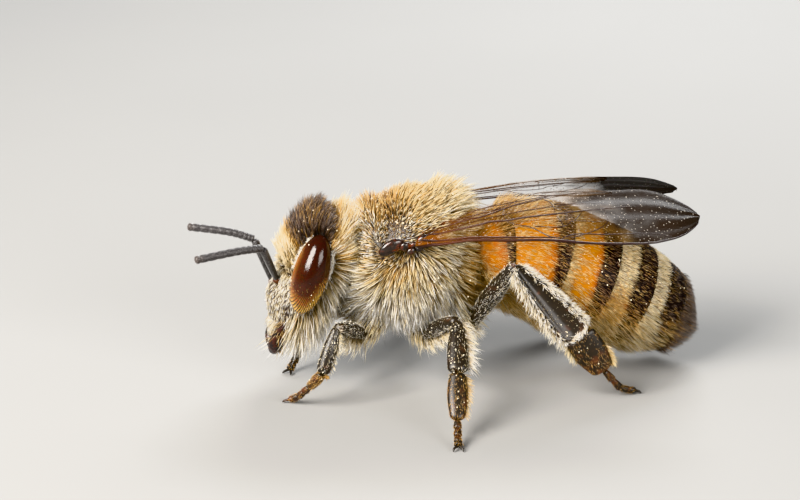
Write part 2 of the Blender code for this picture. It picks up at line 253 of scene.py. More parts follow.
# hard grown cuticle: brown-black, clouded, its satin gleam broken by fine pits
dark_cuticle, tree, shader = finish_of("brown_black_cuticle", 0.42, 1.56)
where = add(tree, "TexCoord").outputs["Object"]
pits = add(tree, "TexVoronoi", {"Vector": where, "Scale": 1 / (0.06 * MM)})
cloud = add(tree, "TexNoise", {"Vector": where, "Scale": 1 / (0.5 * MM)})
feed(shader, {
    "Base Color": add(tree, "ValToRGB", {"Fac": cloud}, ((0.0, "#1a1210"), (1.0, "#3a2a20"))),
    "Normal": add(tree, "Bump", {"Height": pits, "Strength": 0.4, "Distance": 0.02 * MM})})

shares = np.repeat(np.linspace(0, 1, HEAD_RINGS), HEAD_SIDES)
turns = np.tile(np.arange(HEAD_SIDES) * 2 * math.pi / HEAD_SIDES, HEAD_RINGS)
head_points = head_surface(shares, turns)
build("head_capsule", head_points, ring_faces(HEAD_RINGS, HEAD_SIDES), dark_cuticle,
      "head_hair", "head")

# ---------------------------------------------------------------- eyes
# Each compound eye is a long glossy dome of thousands of small lenses, dark red-brown in the
# middle and amber-brown along its lower edge.

EYE_RADII = np.array([0.52, 0.60, 1.21])
EYE_AHEAD, EYE_OUT, EYE_ABOVE = 0.17, 1.36, 0.17
EYE_LEAN, EYE_SPLAY = math.radians(4), math.radians(5)
EYE_RINGS, EYE_SIDES = 40, 64


def head_turn(side):
    """The eye's own axes: fore and aft, sideways, and along the head."""
    return np.array(Matrix.Rotation(HEAD_TILT - EYE_LEAN, 3, "Y")
                    @ Matrix.Rotation(EYE_SPLAY * side, 3, "X"))


def ball(sides, rings):
    """Points of a ball of radius one, in rings from its foot to its top."""
    tilt = np.repeat(np.linspace(0.02, math.pi - 0.02, rings), sides)
    spin = np.tile(np.arange(sides) * 2 * math.pi / sides, rings)
    return np.stack([np.sin(tilt) * np.cos(spin), np.sin(tilt) * np.sin(spin), -np.cos(tilt)], 1)


def dome(radii, turn, centre, sides, rings):
    """Points and faces of a ball with three radii."""
    return centre + (ball(sides, rings) * radii) @ turn.T, ring_faces(rings, sides)


def mark(obj, name, values):
    """Give every point of a piece a number that its material can read."""
    layer = obj.data.attributes.new(name, "FLOAT", "POINT")
    layer.data.foreach_set("value", np.asarray(values, np.float32))


# grown lens cuticle: clear and very glossy, with a sharp window of light on the red pigment.
# The lenses are drawn coarser than real ones, so that they show.
cornea, tree, shader = finish_of("faceted_cornea", 0.14, 1.45, Specular_IOR_Level=0.50)
where = add(tree, "TexCoord").outputs["Object"]
edge = add(tree, "Attribute", attribute_name="rim").outputs["Fac"]
facets = add(tree, "TexVoronoi", {"Vector": where, "Scale": 1 / (0.034 * MM)})
tone = add(tree, "ValToRGB", {"Fac": edge}, (
    (0.0, "#260f09"), (0.25, "#3d1f12"), (0.50, "#7e5026"), (0.78, "#a37c42"), (1.0, "#d8ac5c")))
cell = add(tree, "MixRGB", {"Fac": 0.25, "Color1": tone, "Color2": facets.outputs["Color"]},
           blend_type="SOFT_LIGHT")
spoke = add(tree, "Attribute", attribute_name="spoke").outputs["Fac"]
wave = add(tree, "Math", {0: spoke, 1: 58.0}, operation="MULTIPLY")
wave = add(tree, "Math", {0: wave}, operation="SINE")
RANGE = ("Value", "From Min", "From Max", "To Min", "To Max")
rows = add(tree, "MapRange", dict(zip(RANGE, (wave, -0.1, 0.6, 0.0, 1.0))))
low = add(tree, "Attribute", attribute_name="streaks").outputs["Fac"]
amount = add(tree, "Math", {0: rows, 1: low}, operation="MULTIPLY")
feed(shader, {
    "Base Color": add(tree, "MixRGB", {"Fac": amount, "Color1": cell,
                                       "Color2": linear("#1f0806")}),
    "Normal": add(tree, "Bump", {"Height": facets, "Strength": 0.18, "Distance": 0.008 * MM})})

eye_skins = {}
for side, label in SIDES:
    centre = head_point(EYE_AHEAD, EYE_OUT * side, EYE_ABOVE)
    points, faces = dome(EYE_RADII, head_turn(side), centre, EYE_SIDES, EYE_RINGS)
    eye = build("eye_dome_" + label, points, faces, cornea, "eye", "eye_" + label)
    back, out, up = ball(EYE_SIDES, EYE_RINGS).T
    edge_on = 1 - np.clip(out * side, 0, 1)
    below = np.clip(0.30 * back - up - 0.10, 0, 1)
    front_edge = np.clip(-back - 0.25, 0, 1)
    rear_edge = np.clip(back - 0.05, 0, 1) * np.clip(0.55 - 1.5 * up, 0, 1)
    # crest: the top of each eye is painted darker, a painted shade on its top
    crest = np.clip(up - 0.45, 0, 1)
    mark(eye, "rim", np.clip(0.14 * edge_on - 0.35 * crest + 0.8 * rear_edge
                             + 0.55 * front_edge * edge_on * (1 - crest)
                             + 1.35 * below * (0.48 + 0.7 * edge_on), 0, 1))
    mark(eye, "streaks", np.clip(2.6 * below + 2.0 * rear_edge - 0.15, 0, 0.92))
    mark(eye, "spoke", np.arctan2(up - 0.25, back))
    eye_skins[side] = points.reshape(-1, EYE_SIDES, 3)

# ---------------------------------------------------------------- head coat
# Branched hair as fine closed strands: cream on the face, brown on the crown and long and
# pale on the cheeks.  The strands grow from the skin, drawn together at the tips in tufts.

STRAND_CORNERS = 3
MOST_TRIANGLES = 190000             # in one piece of a coat
MAP_PATCH = 0.003                   # how much of the baking map one strand takes


def scatter(grid, count, chance, rng):
    """Random spots on a grid of rings, by area and chance: spots, normals, shares, ways."""
    low, high = grid[:-1], grid[1:]
    corners = np.stack([low, np.roll(low, -1, 1), high, np.roll(high, -1, 1)])
    normals = np.cross(corners[3] - corners[0], corners[2] - corners[1])
    areas = np.linalg.norm(normals, axis=2)
    outward = corners.mean(0) - np.concatenate([low, high], 1).mean(1, keepdims=True)
    normals = unit(normals) * np.sign((normals * outward).sum(2, keepdims=True))
    rows, columns = areas.shape
    row_share, column_share = np.meshgrid((np.arange(rows) + 0.5) / rows,
                                          (np.arange(columns) + 0.5) / columns, indexing="ij")
    weight = (areas * chance(corners.mean(0), normals, row_share, column_share)).ravel()
    picked = rng.choice(len(weight), count, p=weight / weight.sum())
    row, column = np.divmod(picked, columns)
    a, b = rng.random((count, 1)), rng.random((count, 1))
    near, beside, far, cross = (corner[row, column] for corner in corners)
    spots = (near * (1 - a) + far * a) * (1 - b) + (beside * (1 - a) + cross * a) * b
    shares = np.stack([(row + a[:, 0]) / rows, (column + b[:, 0]) / columns], 1)
    return spots, normals[row, column], shares, unit(far - near)


def drawn_together(paths, every, pull, rng):
    """Pull each strand towards the nearest leading strand, most at its tip."""
    leaders = rng.choice(len(paths), max(1, len(paths) // every), replace=False)
    tree = kdtree.KDTree(len(leaders))
    for index, leader in enumerate(leaders):
        tree.insert(paths[leader, 0], index)
    tree.balance()
    nearest = leaders[[tree.find(root)[1] for root in paths[:, 0]]]
    shares = np.linspace(0, 1, paths.shape[1]) ** 1.3
    amount = (np.asarray(pull).reshape(-1, 1) * shares)[..., None]
    return paths + (paths[nearest] - paths) * amount, rng.normal(size=len(paths))[nearest]


def strand_faces(joints):
    """Triangles of one closed strand of rings with a single point at its tip."""
    corners, tip = np.arange(STRAND_CORNERS), joints * STRAND_CORNERS
    faces = [[(2, 1, 0)]]
    for joint in range(joints - 1):
        low = corners + joint * STRAND_CORNERS
        high = low + STRAND_CORNERS
        faces.append(np.stack([low, np.roll(low, -1), np.roll(high, -1)], 1))
        faces.append(np.stack([low, np.roll(high, -1), high], 1))
    last = corners + tip - STRAND_CORNERS
    faces.append(np.stack([last, np.roll(last, -1), np.full(STRAND_CORNERS, tip)], 1))
    return np.concatenate(faces)


def strands(name, material, slot, spots, starts, ends, lengths, widths, warmth, shares, rng,
            joints=3, every=10, pull=0.5, dim=1.0):
    """Closed three-sided tapering hairs as pieces of the coat, with their baking map."""
    steps = [spots - starts * 0.03]
    lengths = np.broadcast_to(lengths, len(spots))
    warmth = np.clip(warmth, 0, 1)
    for joint in range(joints):
        share = (joint + 0.5) / joints
        way = unit(starts * (1 - share) + ends * share)
        steps.append(steps[-1] + way * (lengths / joints)[:, None])
    paths, tuft = drawn_together(np.stack(steps, 1), every, pull, rng)
    # the shade mark: each tuft's own tone, varied at random, times dim, which holds the painted
    # shade and painted light that each coat gives it by place
    shade = dim * np.clip(0.90 + 0.14 * tuft + rng.normal(0, 0.12, len(spots)), 0.40, 1.0)
    deep = unit(np.cross(paths[:, -1] - paths[:, 0], rng.normal(size=(len(spots), 3))))
    across = unit(np.cross(paths[:, -1] - paths[:, 0], deep))
    taper = (1 - (np.arange(joints) / joints) ** 1.6) / 2
    radius = np.broadcast_to(widths, len(spots))[:, None] * taper
    turn = np.arange(STRAND_CORNERS) * 2 * math.pi / STRAND_CORNERS
    rings = (paths[:, :-1, None] + radius[..., None, None]
             * (np.cos(turn)[:, None] * deep[:, None, None]
                + np.sin(turn)[:, None] * across[:, None, None]))
    points = np.concatenate([rings.reshape(len(spots), -1, 3), paths[:, -1:]], 1)
    points[..., 2] = np.maximum(points[..., 2], 0.005)
    faces = strand_faces(joints)
    along = np.append(np.repeat(np.arange(joints) / joints, STRAND_CORNERS), 1.0)
    round_it = np.append(np.tile(np.arange(STRAND_CORNERS) / STRAND_CORNERS, joints), 0.5)
    patch = np.stack([along, round_it], 1) * MAP_PATCH
    order = np.argsort(shares[:, 1], kind="stable")
    parts = math.ceil(len(spots) * len(faces) / MOST_TRIANGLES)
    for number, chosen in enumerate(np.array_split(order, parts)):
        title = name if parts == 1 else f"{name}_{number + 1}"
        mesh = bpy.data.meshes.new(title)
        some = points[chosen].reshape(-1, 3)
        start = np.arange(len(chosen))[:, None, None] * points.shape[1]
        loops = (faces[None] + start).ravel()
        mesh.vertices.add(len(some))
        mesh.vertices.foreach_set("co", (ZERO + some * MM).ravel())
        mesh.loops.add(len(loops))
        mesh.loops.foreach_set("vertex_index", loops)
        mesh.polygons.add(len(loops) // 3)
        mesh.polygons.foreach_set("loop_start", np.arange(0, len(loops), 3))
        mesh.update(calc_edges=True)
        mesh.shade_smooth()
        mesh.materials.append(material)
        baked = np.clip(shares[chosen][:, None], 0, 1 - MAP_PATCH) + patch[None]
        mesh.uv_layers.new(name="OFBake").uv.foreach_set(
            "vector", baked.reshape(-1, 2)[loops].ravel())
        made = bpy.data.objects.new(title, mesh)
        bpy.context.scene.collection.objects.link(made)
        mark(made, "along", np.tile(along, len(chosen)))
        mark(made, "warmth", np.repeat(warmth[chosen], points.shape[1]))
        mark(made, "shade", np.repeat(shade[chosen], points.shape[1]))
        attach(made, "root")
    return paths


def flat_to(ways, normals):
    """Ways laid flat on the skin."""
    return unit(ways - normals * (ways * normals).sum(1, keepdims=True))


def leaning(normals, lies, rise, loose, rng):
    """Directions between flat along the lie, 0, and upright, 1, with some disorder."""
    rise = np.asarray(rise, float).reshape(-1, 1)
    return unit(normals * rise + lies * (1 - rise) + rng.normal(size=normals.shape) * loose)


def bent(normals, lies, rise, tip_rise, loose, tip_loose, rng):
    """The directions of each hair at its root and at its tip."""
    return (leaning(normals, lies, rise, loose, rng),
            leaning(normals, lies, tip_rise, tip_loose, rng))


def step(low, high, value):
    """A smooth change from 0 to 1 as the value goes from low to high."""
    share = np.clip((value - low) / (high - low), 0, 1)
    return share * share * (3 - 2 * share)


# grown hair with fine branches: soft and satin, with painted shade that darkens it towards the root
# where the coat is dense, and its full colour along the free tips that catch the light
def hair_of(name, root="#4e463a", middle="#bcb09c", brown="#8a6c52", dark="#463830"):
    """Plumed bee hair: the warmth mark runs from white through cream and gold to black."""
    made, tree, shader = finish_of(name, 0.40, 1.48, Sheen_Weight=0.10, Sheen_Roughness=0.5)
    warmth = add(tree, "Attribute", attribute_name="warmth").outputs["Fac"]
    along = add(tree, "Attribute", attribute_name="along").outputs["Fac"]
    shade = add(tree, "Attribute", attribute_name="shade").outputs["Color"]
    tone = add(tree, "ValToRGB", {"Fac": warmth}, (
        (0.0, "#ffffff"), (0.20, "#f4e3b4"), (0.40, "#d6a654"), (0.60, brown), (0.80, dark),
        (1.0, "#0f0c0b")))
    # painted shade: each hair is darker towards its root and has its full colour from two thirds of
    # the way to its tip
    depth = add(tree, "ValToRGB", {"Fac": along}, ((0.0, root), (0.30, middle), (0.66, "#ffffff")))
    shaded_at_root = add(tree, "MixRGB", {"Fac": 1.0, "Color1": tone, "Color2": depth},
                 blend_type="MULTIPLY")
    feed(shader, {"Base Color": add(tree, "MixRGB", {"Fac": 1.0, "Color1": shaded_at_root,
                                                     "Color2": shade}, blend_type="MULTIPLY")})
    return made


head_hair = hair_of("head_hair_cream_and_brown", brown="#6b584c")


def long_hairs(count, share, rng):
    """Which hairs stand out: 1 for the long stout pale ones, 0 for the undercoat."""
    return (rng.random(count) < share).astype(float)


def eye_distance(points):
    """How far points lie from the nearer eye's centre, in units of the eye's own size."""
    nearest = []
    for side in (LEFT, RIGHT):
        local = (points - head_point(EYE_AHEAD, EYE_OUT * side, EYE_ABOVE)) @ head_turn(side)
        nearest.append(np.linalg.norm(local / EYE_RADII, axis=-1))
    return np.minimum(*nearest)


def head_chance(points, normals, height, around):
    """How likely hair is to grow on each part of the head."""
    above = (points - HEAD_CENTRE) @ HEAD_UP
    ahead = normals @ HEAD_FRONT
    bare = np.exp(-((points[..., 1] / 0.50) ** 2 + ((above + 1.35) / 0.50) ** 2)) * (ahead > 0)
    bare = bare + 1.5 * np.exp(-((np.abs(points[..., 1]) - 0.98) / 0.20) ** 2
                               - ((above + 1.28) / 0.20) ** 2) * (ahead > 0)
    crown = step(0.6, 1.2, above)
    away = eye_distance(points)
    cheek = step(0.15, -0.45, ahead) * step(0.9, 0.4, above)
    return ((away > 1.01) * (1 + 0.6 * crown + 3.0 * (away < 1.10)) * (1 - 0.40 * cheek)
            * np.clip(1 - 0.55 * bare, 0.12, 1))


rng = np.random.default_rng(11)
head_grid = head_points.reshape(HEAD_RINGS, HEAD_SIDES, 3)
spots, normals, shares, _ = scatter(head_grid, 17000, head_chance, rng)
above = (spots - HEAD_CENTRE) @ HEAD_UP
ahead = (normals @ HEAD_FRONT)
crown, front = step(0.5, 1.25, above), step(-0.15, 0.45, ahead)
cheek = (1 - front) * (1 - crown)
brow = front * step(-0.45, 0.05, above) * (1 - crown)
face = front * (1 - step(-0.45, 0.05, above))
side = np.sign(spots[:, 1:2])
from_eye = unit(spots - head_point(EYE_AHEAD, 0, EYE_ABOVE) - ACROSS * spots[:, 1:2])
lies = flat_to(-HEAD_UP * (face * 1.0 + cheek * 0.6)[:, None] + from_eye * cheek[:, None]
               - HEAD_FRONT * (crown * 0.15)[:, None]
               + HEAD_UP * (brow * 0.9 + crown * 0.5)[:, None]
               + ACROSS * side * (0.15 * face)[:, None], normals)
rise = (0.30 * face + 0.80 * brow + 0.88 * crown
        + (0.40 + 0.35 * np.maximum(step(0.2, 0.9, above), step(-0.45, -0.85, ahead))) * cheek)
nape = step(0.15, 0.75, -ahead) * step(-0.2, 0.8, above)
tuft = step(0.0, 0.5, -ahead) * step(1.15, 1.5, above)
away = eye_distance(spots)
beside = step(1.05, 1.50, away)
length = (0.17 * face + (0.20 + 0.44 * beside) * brow + (0.25 + 0.30 * front) * crown
          + (0.72 + 0.42 * step(-0.3, 1.2, -above) + 0.20 * step(-0.3, -0.8, ahead)) * cheek
          + 0.30 * nape + 0.32 * tuft)
stout = long_hairs(len(spots), 0.38, rng)
length = length * rng.uniform(0.75, 1.15, len(spots)) * (0.78 + 0.32 * stout)
orbit = step(1.14, 1.08, away) * step(1.25, 0.8, above)
length = length * (1 - orbit) + 0.13 * orbit
rise = rise * (1 - orbit) + 0.12 * orbit
brown = step(0.35, 0.95, above)
golden = step(0.0, 0.5, -ahead) * step(-0.2, 0.6, above)
warmth = (0.05 * face + 0.17 * brow + 0.06 * cheek
          + (0.71 - 0.10 * step(0.3, -0.2, ahead) - 0.34 * golden) * brown
          + (0.10 + 0.04 * (cheek + face)) * (1 - stout) - 0.07 * stout * brown
          - 0.30 * orbit + 0.08 * (1 - nape) * step(1.45, 1.12, away) * step(0.7, 1.1, above)
          + rng.normal(0, 0.06 + 0.05 * brown, len(spots)))
width = (0.019 + 0.006 * brow + 0.003 * cheek) * (0.85 + 0.45 * stout)
# dim: painted shade on the undercoat, darkest on the face, for the dark gaps between the long hairs
head_paths = strands(
    "head_coat", head_hair, "head_hair", spots,
    *bent(normals, lies, rise, rise * 0.45, 0.12, 0.16, rng), length, width, warmth, shares, rng,
    every=8, pull=0.40 + 0.20 * brow - 0.10 * cheek,
    dim=1 - (0.10 + 0.06 * cheek + 0.36 * face) * (1 - stout))


def orbit_chance(points, normals, height, around):
    """A narrow line of silver hair hugs each eye in front and behind."""
    away = eye_distance(points)
    above = (points - HEAD_CENTRE) @ HEAD_UP
    return step(0.98, 1.02, away) * step(1.13, 1.07, away) * step(1.35, 1.05, above)


spots, normals, shares, _ = scatter(head_grid, 1300, orbit_chance, rng)
lies = flat_to(np.tile(-HEAD_UP, (len(spots), 1)), normals)
strands("eye_rim_hair", head_hair, "head_hair", spots,
        *bent(normals, lies, 0.62, 0.40, 0.16, 0.16, rng),
        0.14 * rng.uniform(0.5, 1.3, len(spots)), 0.020, 0.04 + rng.normal(0, 0.05, len(spots)),
        shares, rng, joints=2, pull=0.0)


def low_on_eye(points, normals, height, around):
    """The short dark hairs of the eye stand thickest on its lower and rear half."""
    local = unit((points - points.mean((0, 1))) @ head_turn(0))
    return step(-0.15, 0.65, 0.5 * local[..., 0] - local[..., 2])


for side, label in SIDES:
    spots, normals, shares, _ = scatter(eye_skins[side], 800, low_on_eye, rng)
    lies = flat_to(unit(spots - spots.mean(0)), normals)
    strands("eye_bristles_" + label, head_hair, "head_hair", spots,
            *bent(normals, lies, 0.6, 0.3, 0.05, 0.05, rng),
            0.11 * rng.uniform(0.7, 1.3, len(spots)), 0.012,
            np.where(rng.random(len(spots)) < 0.35, 0.36, 0.95), shares, rng, joints=2,
            every=50, pull=0.0)

# ---------------------------------------------------------------- mouthparts
# The upper lip, the two jaws and the folded tongue, hung from the lower edge of the head, and
# the three small eyes on its crown: all smooth dark cuticle clouded with red-brown.


def tube(path, widths, depths, wide=(0, 1, 0), sides=20, rings=24, blunt=0.12):
    """A tapered limb joint with rounded ends: its points and faces, in millimetres."""
    shares = 0.5 - 0.5 * np.cos(np.linspace(0, math.pi, rings))
    line = smooth_through(path, shares)
    along = unit(smooth_through(path, shares + 0.02) - smooth_through(path, shares - 0.02))
    deep = unit(np.cross(along, np.asarray(wide, float)))
    across = np.cross(deep, along)
    end = np.minimum(shares, 1 - shares) / blunt
    close = np.where(end < 1, np.sqrt(np.clip(1 - (1 - end) ** 2, 0.004, 1)), 1.0)
    width = smooth_through(widths, shares)[:, 0] * close / 2
    depth = smooth_through(depths, shares)[:, 0] * close / 2
    turns = np.arange(sides) * 2 * math.pi / sides
    points = (line[:, None] + (width[:, None] * np.cos(turns))[..., None] * across[:, None]
              + (depth[:, None] * np.sin(turns))[..., None] * deep[:, None])
    return points.reshape(-1, 3), ring_faces(rings, sides)


def joined(shapes):
    """Several points-and-faces shapes as one."""
    points, faces, start = [], [], 0
    for shape_points, shape_faces in shapes:
        points.append(shape_points)
        faces += [[corner + start for corner in face] for face in shape_faces]
        start += len(shape_points)
    return np.concatenate(points), faces


def mottled(name, roughness, ior, patch, detail, stops, bump=0.0, depth=0.0, **constants):
    """A material in patches of one size, coloured and raised alike, sizes in millimetres."""
    made, tree, shader = finish_of(name, roughness, ior, **constants)
    where = add(tree, "TexCoord").outputs["Object"]
    cloud = add(tree, "TexNoise", {"Vector": where, "Scale": 1 / (patch * MM), "Detail": detail})
    feed(shader, {"Base Color": add(tree, "ValToRGB", {"Fac": cloud}, stops)})
    if bump:
        feed(shader, {"Normal": add(tree, "Bump", {"Height": cloud, "Strength": bump,
                                                   "Distance": depth * MM})})
    return made


# hard polished cuticle: dark with red-brown clouds, wavy enough to break up its gloss
jaw_cuticle = mottled("red_brown_cuticle", 0.30, 1.54, 0.16, 5.0,
                      ((0.42, "#0e0706"), (0.68, "#42190d")), 0.9, 0.05,
                      Coat_Weight=0.25, Coat_Roughness=0.20)

UPRIGHT = np.eye(3)
for number, spot in enumerate(((0.50, 0.0, 1.52), (0.30, 0.30, 1.60), (0.30, -0.30, 1.60)), 1):
    points, faces = dome((0.13, 0.13, 0.13), UPRIGHT, head_point(*spot), 24, 16)
    build(f"small_eye_{number}", points, faces, jaw_cuticle, "eye")

LIP_SIDES, LIP_RINGS = 32, 24
lip_points, lip_faces = dome((0.20, 0.50, 0.36), head_turn(0), head_point(0.24, 0, -2.02),
                             LIP_SIDES, LIP_RINGS)
build("upper_lip", lip_points, lip_faces, jaw_cuticle, "mouthparts", "labrum")
halves = [tube([head_point(-0.12, lane, -2.24), head_point(-0.40, lane, -2.00),
                head_point(-0.55, lane, -1.55)], (0.20, 0.22, 0.16), (0.22, 0.24, 0.18))
          for lane in (-0.11, 0.11)]
build("folded_tongue", *joined(halves), jaw_cuticle, "mouthparts", "proboscis")


def lip_chance(points, normals, height, around):
    """Hair on the front of the lip."""
    return step(-0.2, 0.5, normals @ HEAD_FRONT)


def jaw_chance(points, normals, height, around):
    """Hair along the rear edge of the jaw and round its base."""
    return step(0.3, 0.9, -(normals @ HEAD_FRONT)) + 0.8 * step(0.6, 0.2, height)


rng = np.random.default_rng(15)
spots, normals, shares, _ = scatter(lip_points.reshape(LIP_RINGS, LIP_SIDES, 3), 700,
                                    lip_chance, rng)
lies = flat_to(np.tile(-HEAD_UP, (len(spots), 1)), normals)
strands("lip_hair", head_hair, "head_hair", spots,
        *bent(normals, lies, 0.35, 0.10, 0.12, 0.12, rng),
        0.24 * rng.uniform(0.7, 1.2, len(spots)), 0.022, 0.08 + rng.normal(0, 0.06, len(spots)),
        shares, rng, joints=2, pull=0.4)

JAW_SIDES, JAW_RINGS = 24, 32
for side, label in SIDES:
    path = [head_point(0.10, 0.60 * side, -1.60), head_point(0.17, 0.56 * side, -2.10),
            head_point(0.13, 0.40 * side, -2.52), head_point(0.02, 0.18 * side, -2.88)]
    points, faces = tube(path, (0.46, 0.33, 0.45, 0.28), (0.36, 0.24, 0.32, 0.20), HEAD_FRONT,
                         JAW_SIDES, JAW_RINGS, 0.16)
    build("jaw_" + label, points, faces, jaw_cuticle, "mouthparts", "mandible_" + label)
    spots, normals, shares, down = scatter(points.reshape(JAW_RINGS, JAW_SIDES, 3), 220,
                                           jaw_chance, rng)
    strands("jaw_fringe_" + label, head_hair, "mouthparts", spots,
            *bent(normals, down, 0.6, 0.3, 0.12, 0.12, rng),
            0.27 * rng.uniform(0.6, 1.3, len(spots)), 0.018,
            0.30 + rng.normal(0, 0.06, len(spots)), shares, rng, joints=2, pull=0)

# ---------------------------------------------------------------- feelers
# A long first joint, a small knuckle and ten short rings, all satin grey-black cuticle under
# a pale bloom of hairs too short to see one by one, in a socket of orange-brown skin.


def node_points(node):
    """A CAD node's points in millimetres from the bee's zero."""
    points = np.array([vert.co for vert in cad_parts[node].data.vertices])
    return (points - ZERO) / MM


def far_end(node, start):
    """The middle of the end of a limb joint that lies away from the start."""
    points = node_points(node)
    run = (points - start) @ unit(points.mean(0) - start)
    return points[run > run.max() - 0.12 * np.ptp(run)].mean(0)


LASH_SIDES = 18


def ringed(path, size, count, groove=0.14):
    """A feeler lash: a tube pinched between its short joints."""
    points, faces = tube(path, (size,) * 3, (size,) * 3, sides=LASH_SIDES, rings=count * 8 + 1,
                         blunt=0.05)
    rings = points.reshape(-1, LASH_SIDES, 3)
    middle = rings.mean(1, keepdims=True)
    shares = 0.5 - 0.5 * np.cos(np.linspace(0, math.pi, len(rings)))
    pinch = 1 - groove * np.exp(-(((shares * count + 0.5) % 1 - 0.5) / 0.12) ** 2)
    return (middle + (rings - middle) * pinch[:, None, None]).reshape(-1, 3), faces, shares


# hard cuticle under a bloom of hairs: a soft grey-black without a gloss.  The grain of the
# bloom is drawn coarser than the real hairs, so that it shows.
feeler_cuticle, tree, shader = finish_of("downy_black_cuticle", 0.48, 1.5, Sheen_Weight=0.5,
                                         Sheen_Roughness=0.4)
where = add(tree, "TexCoord").outputs["Object"]
along = add(tree, "Attribute", attribute_name="along").outputs["Fac"]
down = add(tree, "TexNoise", {"Vector": where, "Scale": 1 / (0.03 * MM), "Detail": 4.0})
tone = add(tree, "ValToRGB", {"Fac": along}, (
    (0.0, "#2a1a12"), (0.12, "#1d1b1c"), (0.90, "#232022"), (1.0, "#3a302b")))
bloom = add(tree, "ValToRGB", {"Fac": down}, ((0.48, "#000000"), (0.72, "#7b7977")))
feed(shader, {
    "Base Color": add(tree, "MixRGB", {"Fac": 0.50, "Color1": tone, "Color2": bloom},
                      blend_type="ADD"),
    "Normal": add(tree, "Bump", {"Height": down, "Strength": 0.5, "Distance": 0.01 * MM})})

# bare joint skin: soft, with a dull orange-brown shine
socket_cuticle = mottled("orange_brown_joint_skin", 0.4, 1.5, 0.08, 2.0,
                         ((0.0, "#2c160c"), (1.0, "#643a1c")))

FEELER_SIZE = 0.245
LASH_JOINTS = 11
STEM_SIDES, STEM_RINGS = 20, 32
# where each feeler leaves the face: the right one lower, so that it shows past the left
SOCKETS = {LEFT: (0.80, -0.36, -0.62), RIGHT: (0.74, 0.36, -0.92)}
for side, label in SIDES:
    socket = head_point(*SOCKETS[side])
    elbow = far_end("antenna_scape_" + label, HEAD_CENTRE)
    tip = far_end("antenna_flagellum_" + label, elbow)
    bend = node_points("antenna_flagellum_" + label).mean(0)
    points, faces = tube([socket, (socket + elbow) / 2, elbow], (0.17, 0.22, 0.24),
                         (0.17, 0.22, 0.24), sides=STEM_SIDES, rings=STEM_RINGS)
    stem = build("feeler_stem_" + label, points, faces, feeler_cuticle, "feeler",
                 "antenna_scape_" + label)
    mark(stem, "along", np.repeat(np.linspace(0.0, 0.5, STEM_RINGS), STEM_SIDES))
    points, faces, shares = ringed([elbow, bend, tip], FEELER_SIZE, LASH_JOINTS)
    lash = build("feeler_lash_" + label, points, faces, feeler_cuticle, "feeler",
                 "antenna_flagellum_" + label)
    mark(lash, "along", np.repeat(0.3 + 0.7 * shares, LASH_SIDES))
    points, faces = dome((0.13, 0.13, 0.11), head_turn(0), socket, 24, 16)
    build("feeler_socket_" + label, points, faces, socket_cuticle, "feeler")

# ---------------------------------------------------------------- thorax
# One hard box of dark cuticle: collar, back, the raised scutellum behind it and the sloping
# rear.  It is the outermost of four overlapping balls, blended where they meet, and a neck
# and a waist join it to the head and the abdomen.

THORAX_CENTRE = np.array([0.0, 0.0, 3.86])
# centre, then reach along X, Y and Z
THORAX_FORMS = np.array((
    (0.0, 0.0, 3.88, 1.58, 1.92, 1.84),
    (-1.05, 0.0, 3.95, 0.66, 1.50, 1.44),
    (0.88, 0.0, 4.98, 0.74, 0.98, 0.72),
    (1.12, 0.0, 3.45, 0.62, 1.42, 1.28)))
THORAX_BLEND = 14.0
THORAX_RINGS, THORAX_SIDES = 72, 96


def thorax_reach(ways):
    """How far the skin lies from the centre, for unit vectors."""
    reaches = []
    for form in THORAX_FORMS:
        start = (THORAX_CENTRE - form[:3]) / form[3:]
        ray = ways / form[3:]
        a, b, c = (ray ** 2).sum(1), ray @ start, start @ start - 1
        reaches.append(np.where(b * b - a * c > 0,
                                (-b + np.sqrt(np.maximum(b * b - a * c, 0))) / a, 0.0))
    reaches = np.clip(np.array(reaches), 0.0, None)
    return np.log(np.exp(reaches * THORAX_BLEND).sum(0) - len(THORAX_FORMS) + 1) / THORAX_BLEND


beside, above, behind = ball(THORAX_SIDES, THORAX_RINGS).T
ways = np.stack([behind, beside, above], 1)
thorax_points = THORAX_CENTRE + ways * thorax_reach(ways)[:, None]
build("thorax_skin", thorax_points, ring_faces(THORAX_RINGS, THORAX_SIDES), dark_cuticle,
      "thorax_hair", "mesothorax", "pronotum", "scutellum", "propodeum")
for name, radii, centre in (("neck", (0.62, 0.55, 0.62), (-2.02, 0, 3.72)),
                            ("waist", (0.55, 0.62, 0.70), (1.72, 0, 3.42))):
    points, faces = dome(radii, UPRIGHT, centre, 32, 20)
    build(name, points, faces, dark_cuticle, "thorax_hair")

# ---------------------------------------------------------------- thorax coat
# Dense fuzz: short and golden on the back, long upright tufts on the scutellum, and long
# cream hair on the flanks that fans down and back from below the wing bases.

thorax_hair = hair_of("thorax_hair_golden_cream")
WING_BASE = np.array([-0.10, 1.95, 4.95])


def back_patch(points):
    """The two peppery fields of shorter hair on the back, just ahead of the wing bases."""
    reach = (points - np.array([-0.72, 0.0, 5.05])) * np.array([1 / 0.72, 0, 1 / 0.60])
    off = (np.abs(points[..., 1]) - 1.25) / 0.60
    return np.exp(-(reach ** 2).sum(-1) ** 2 - off ** 4)


def velvet(points):
    """The upper front of the thorax, where the hair is short and stands up."""
    return step(0.20, 0.80, -points[..., 0]) * step(3.6, 4.4, points[..., 2])


def field(points, ahead, above, reach):
    """A soft round field of colour, seen from the side, on both flanks."""
    return np.exp(-(((points - np.array([ahead, 0, above]))[:, [0, 2]] / reach) ** 2).sum(1))


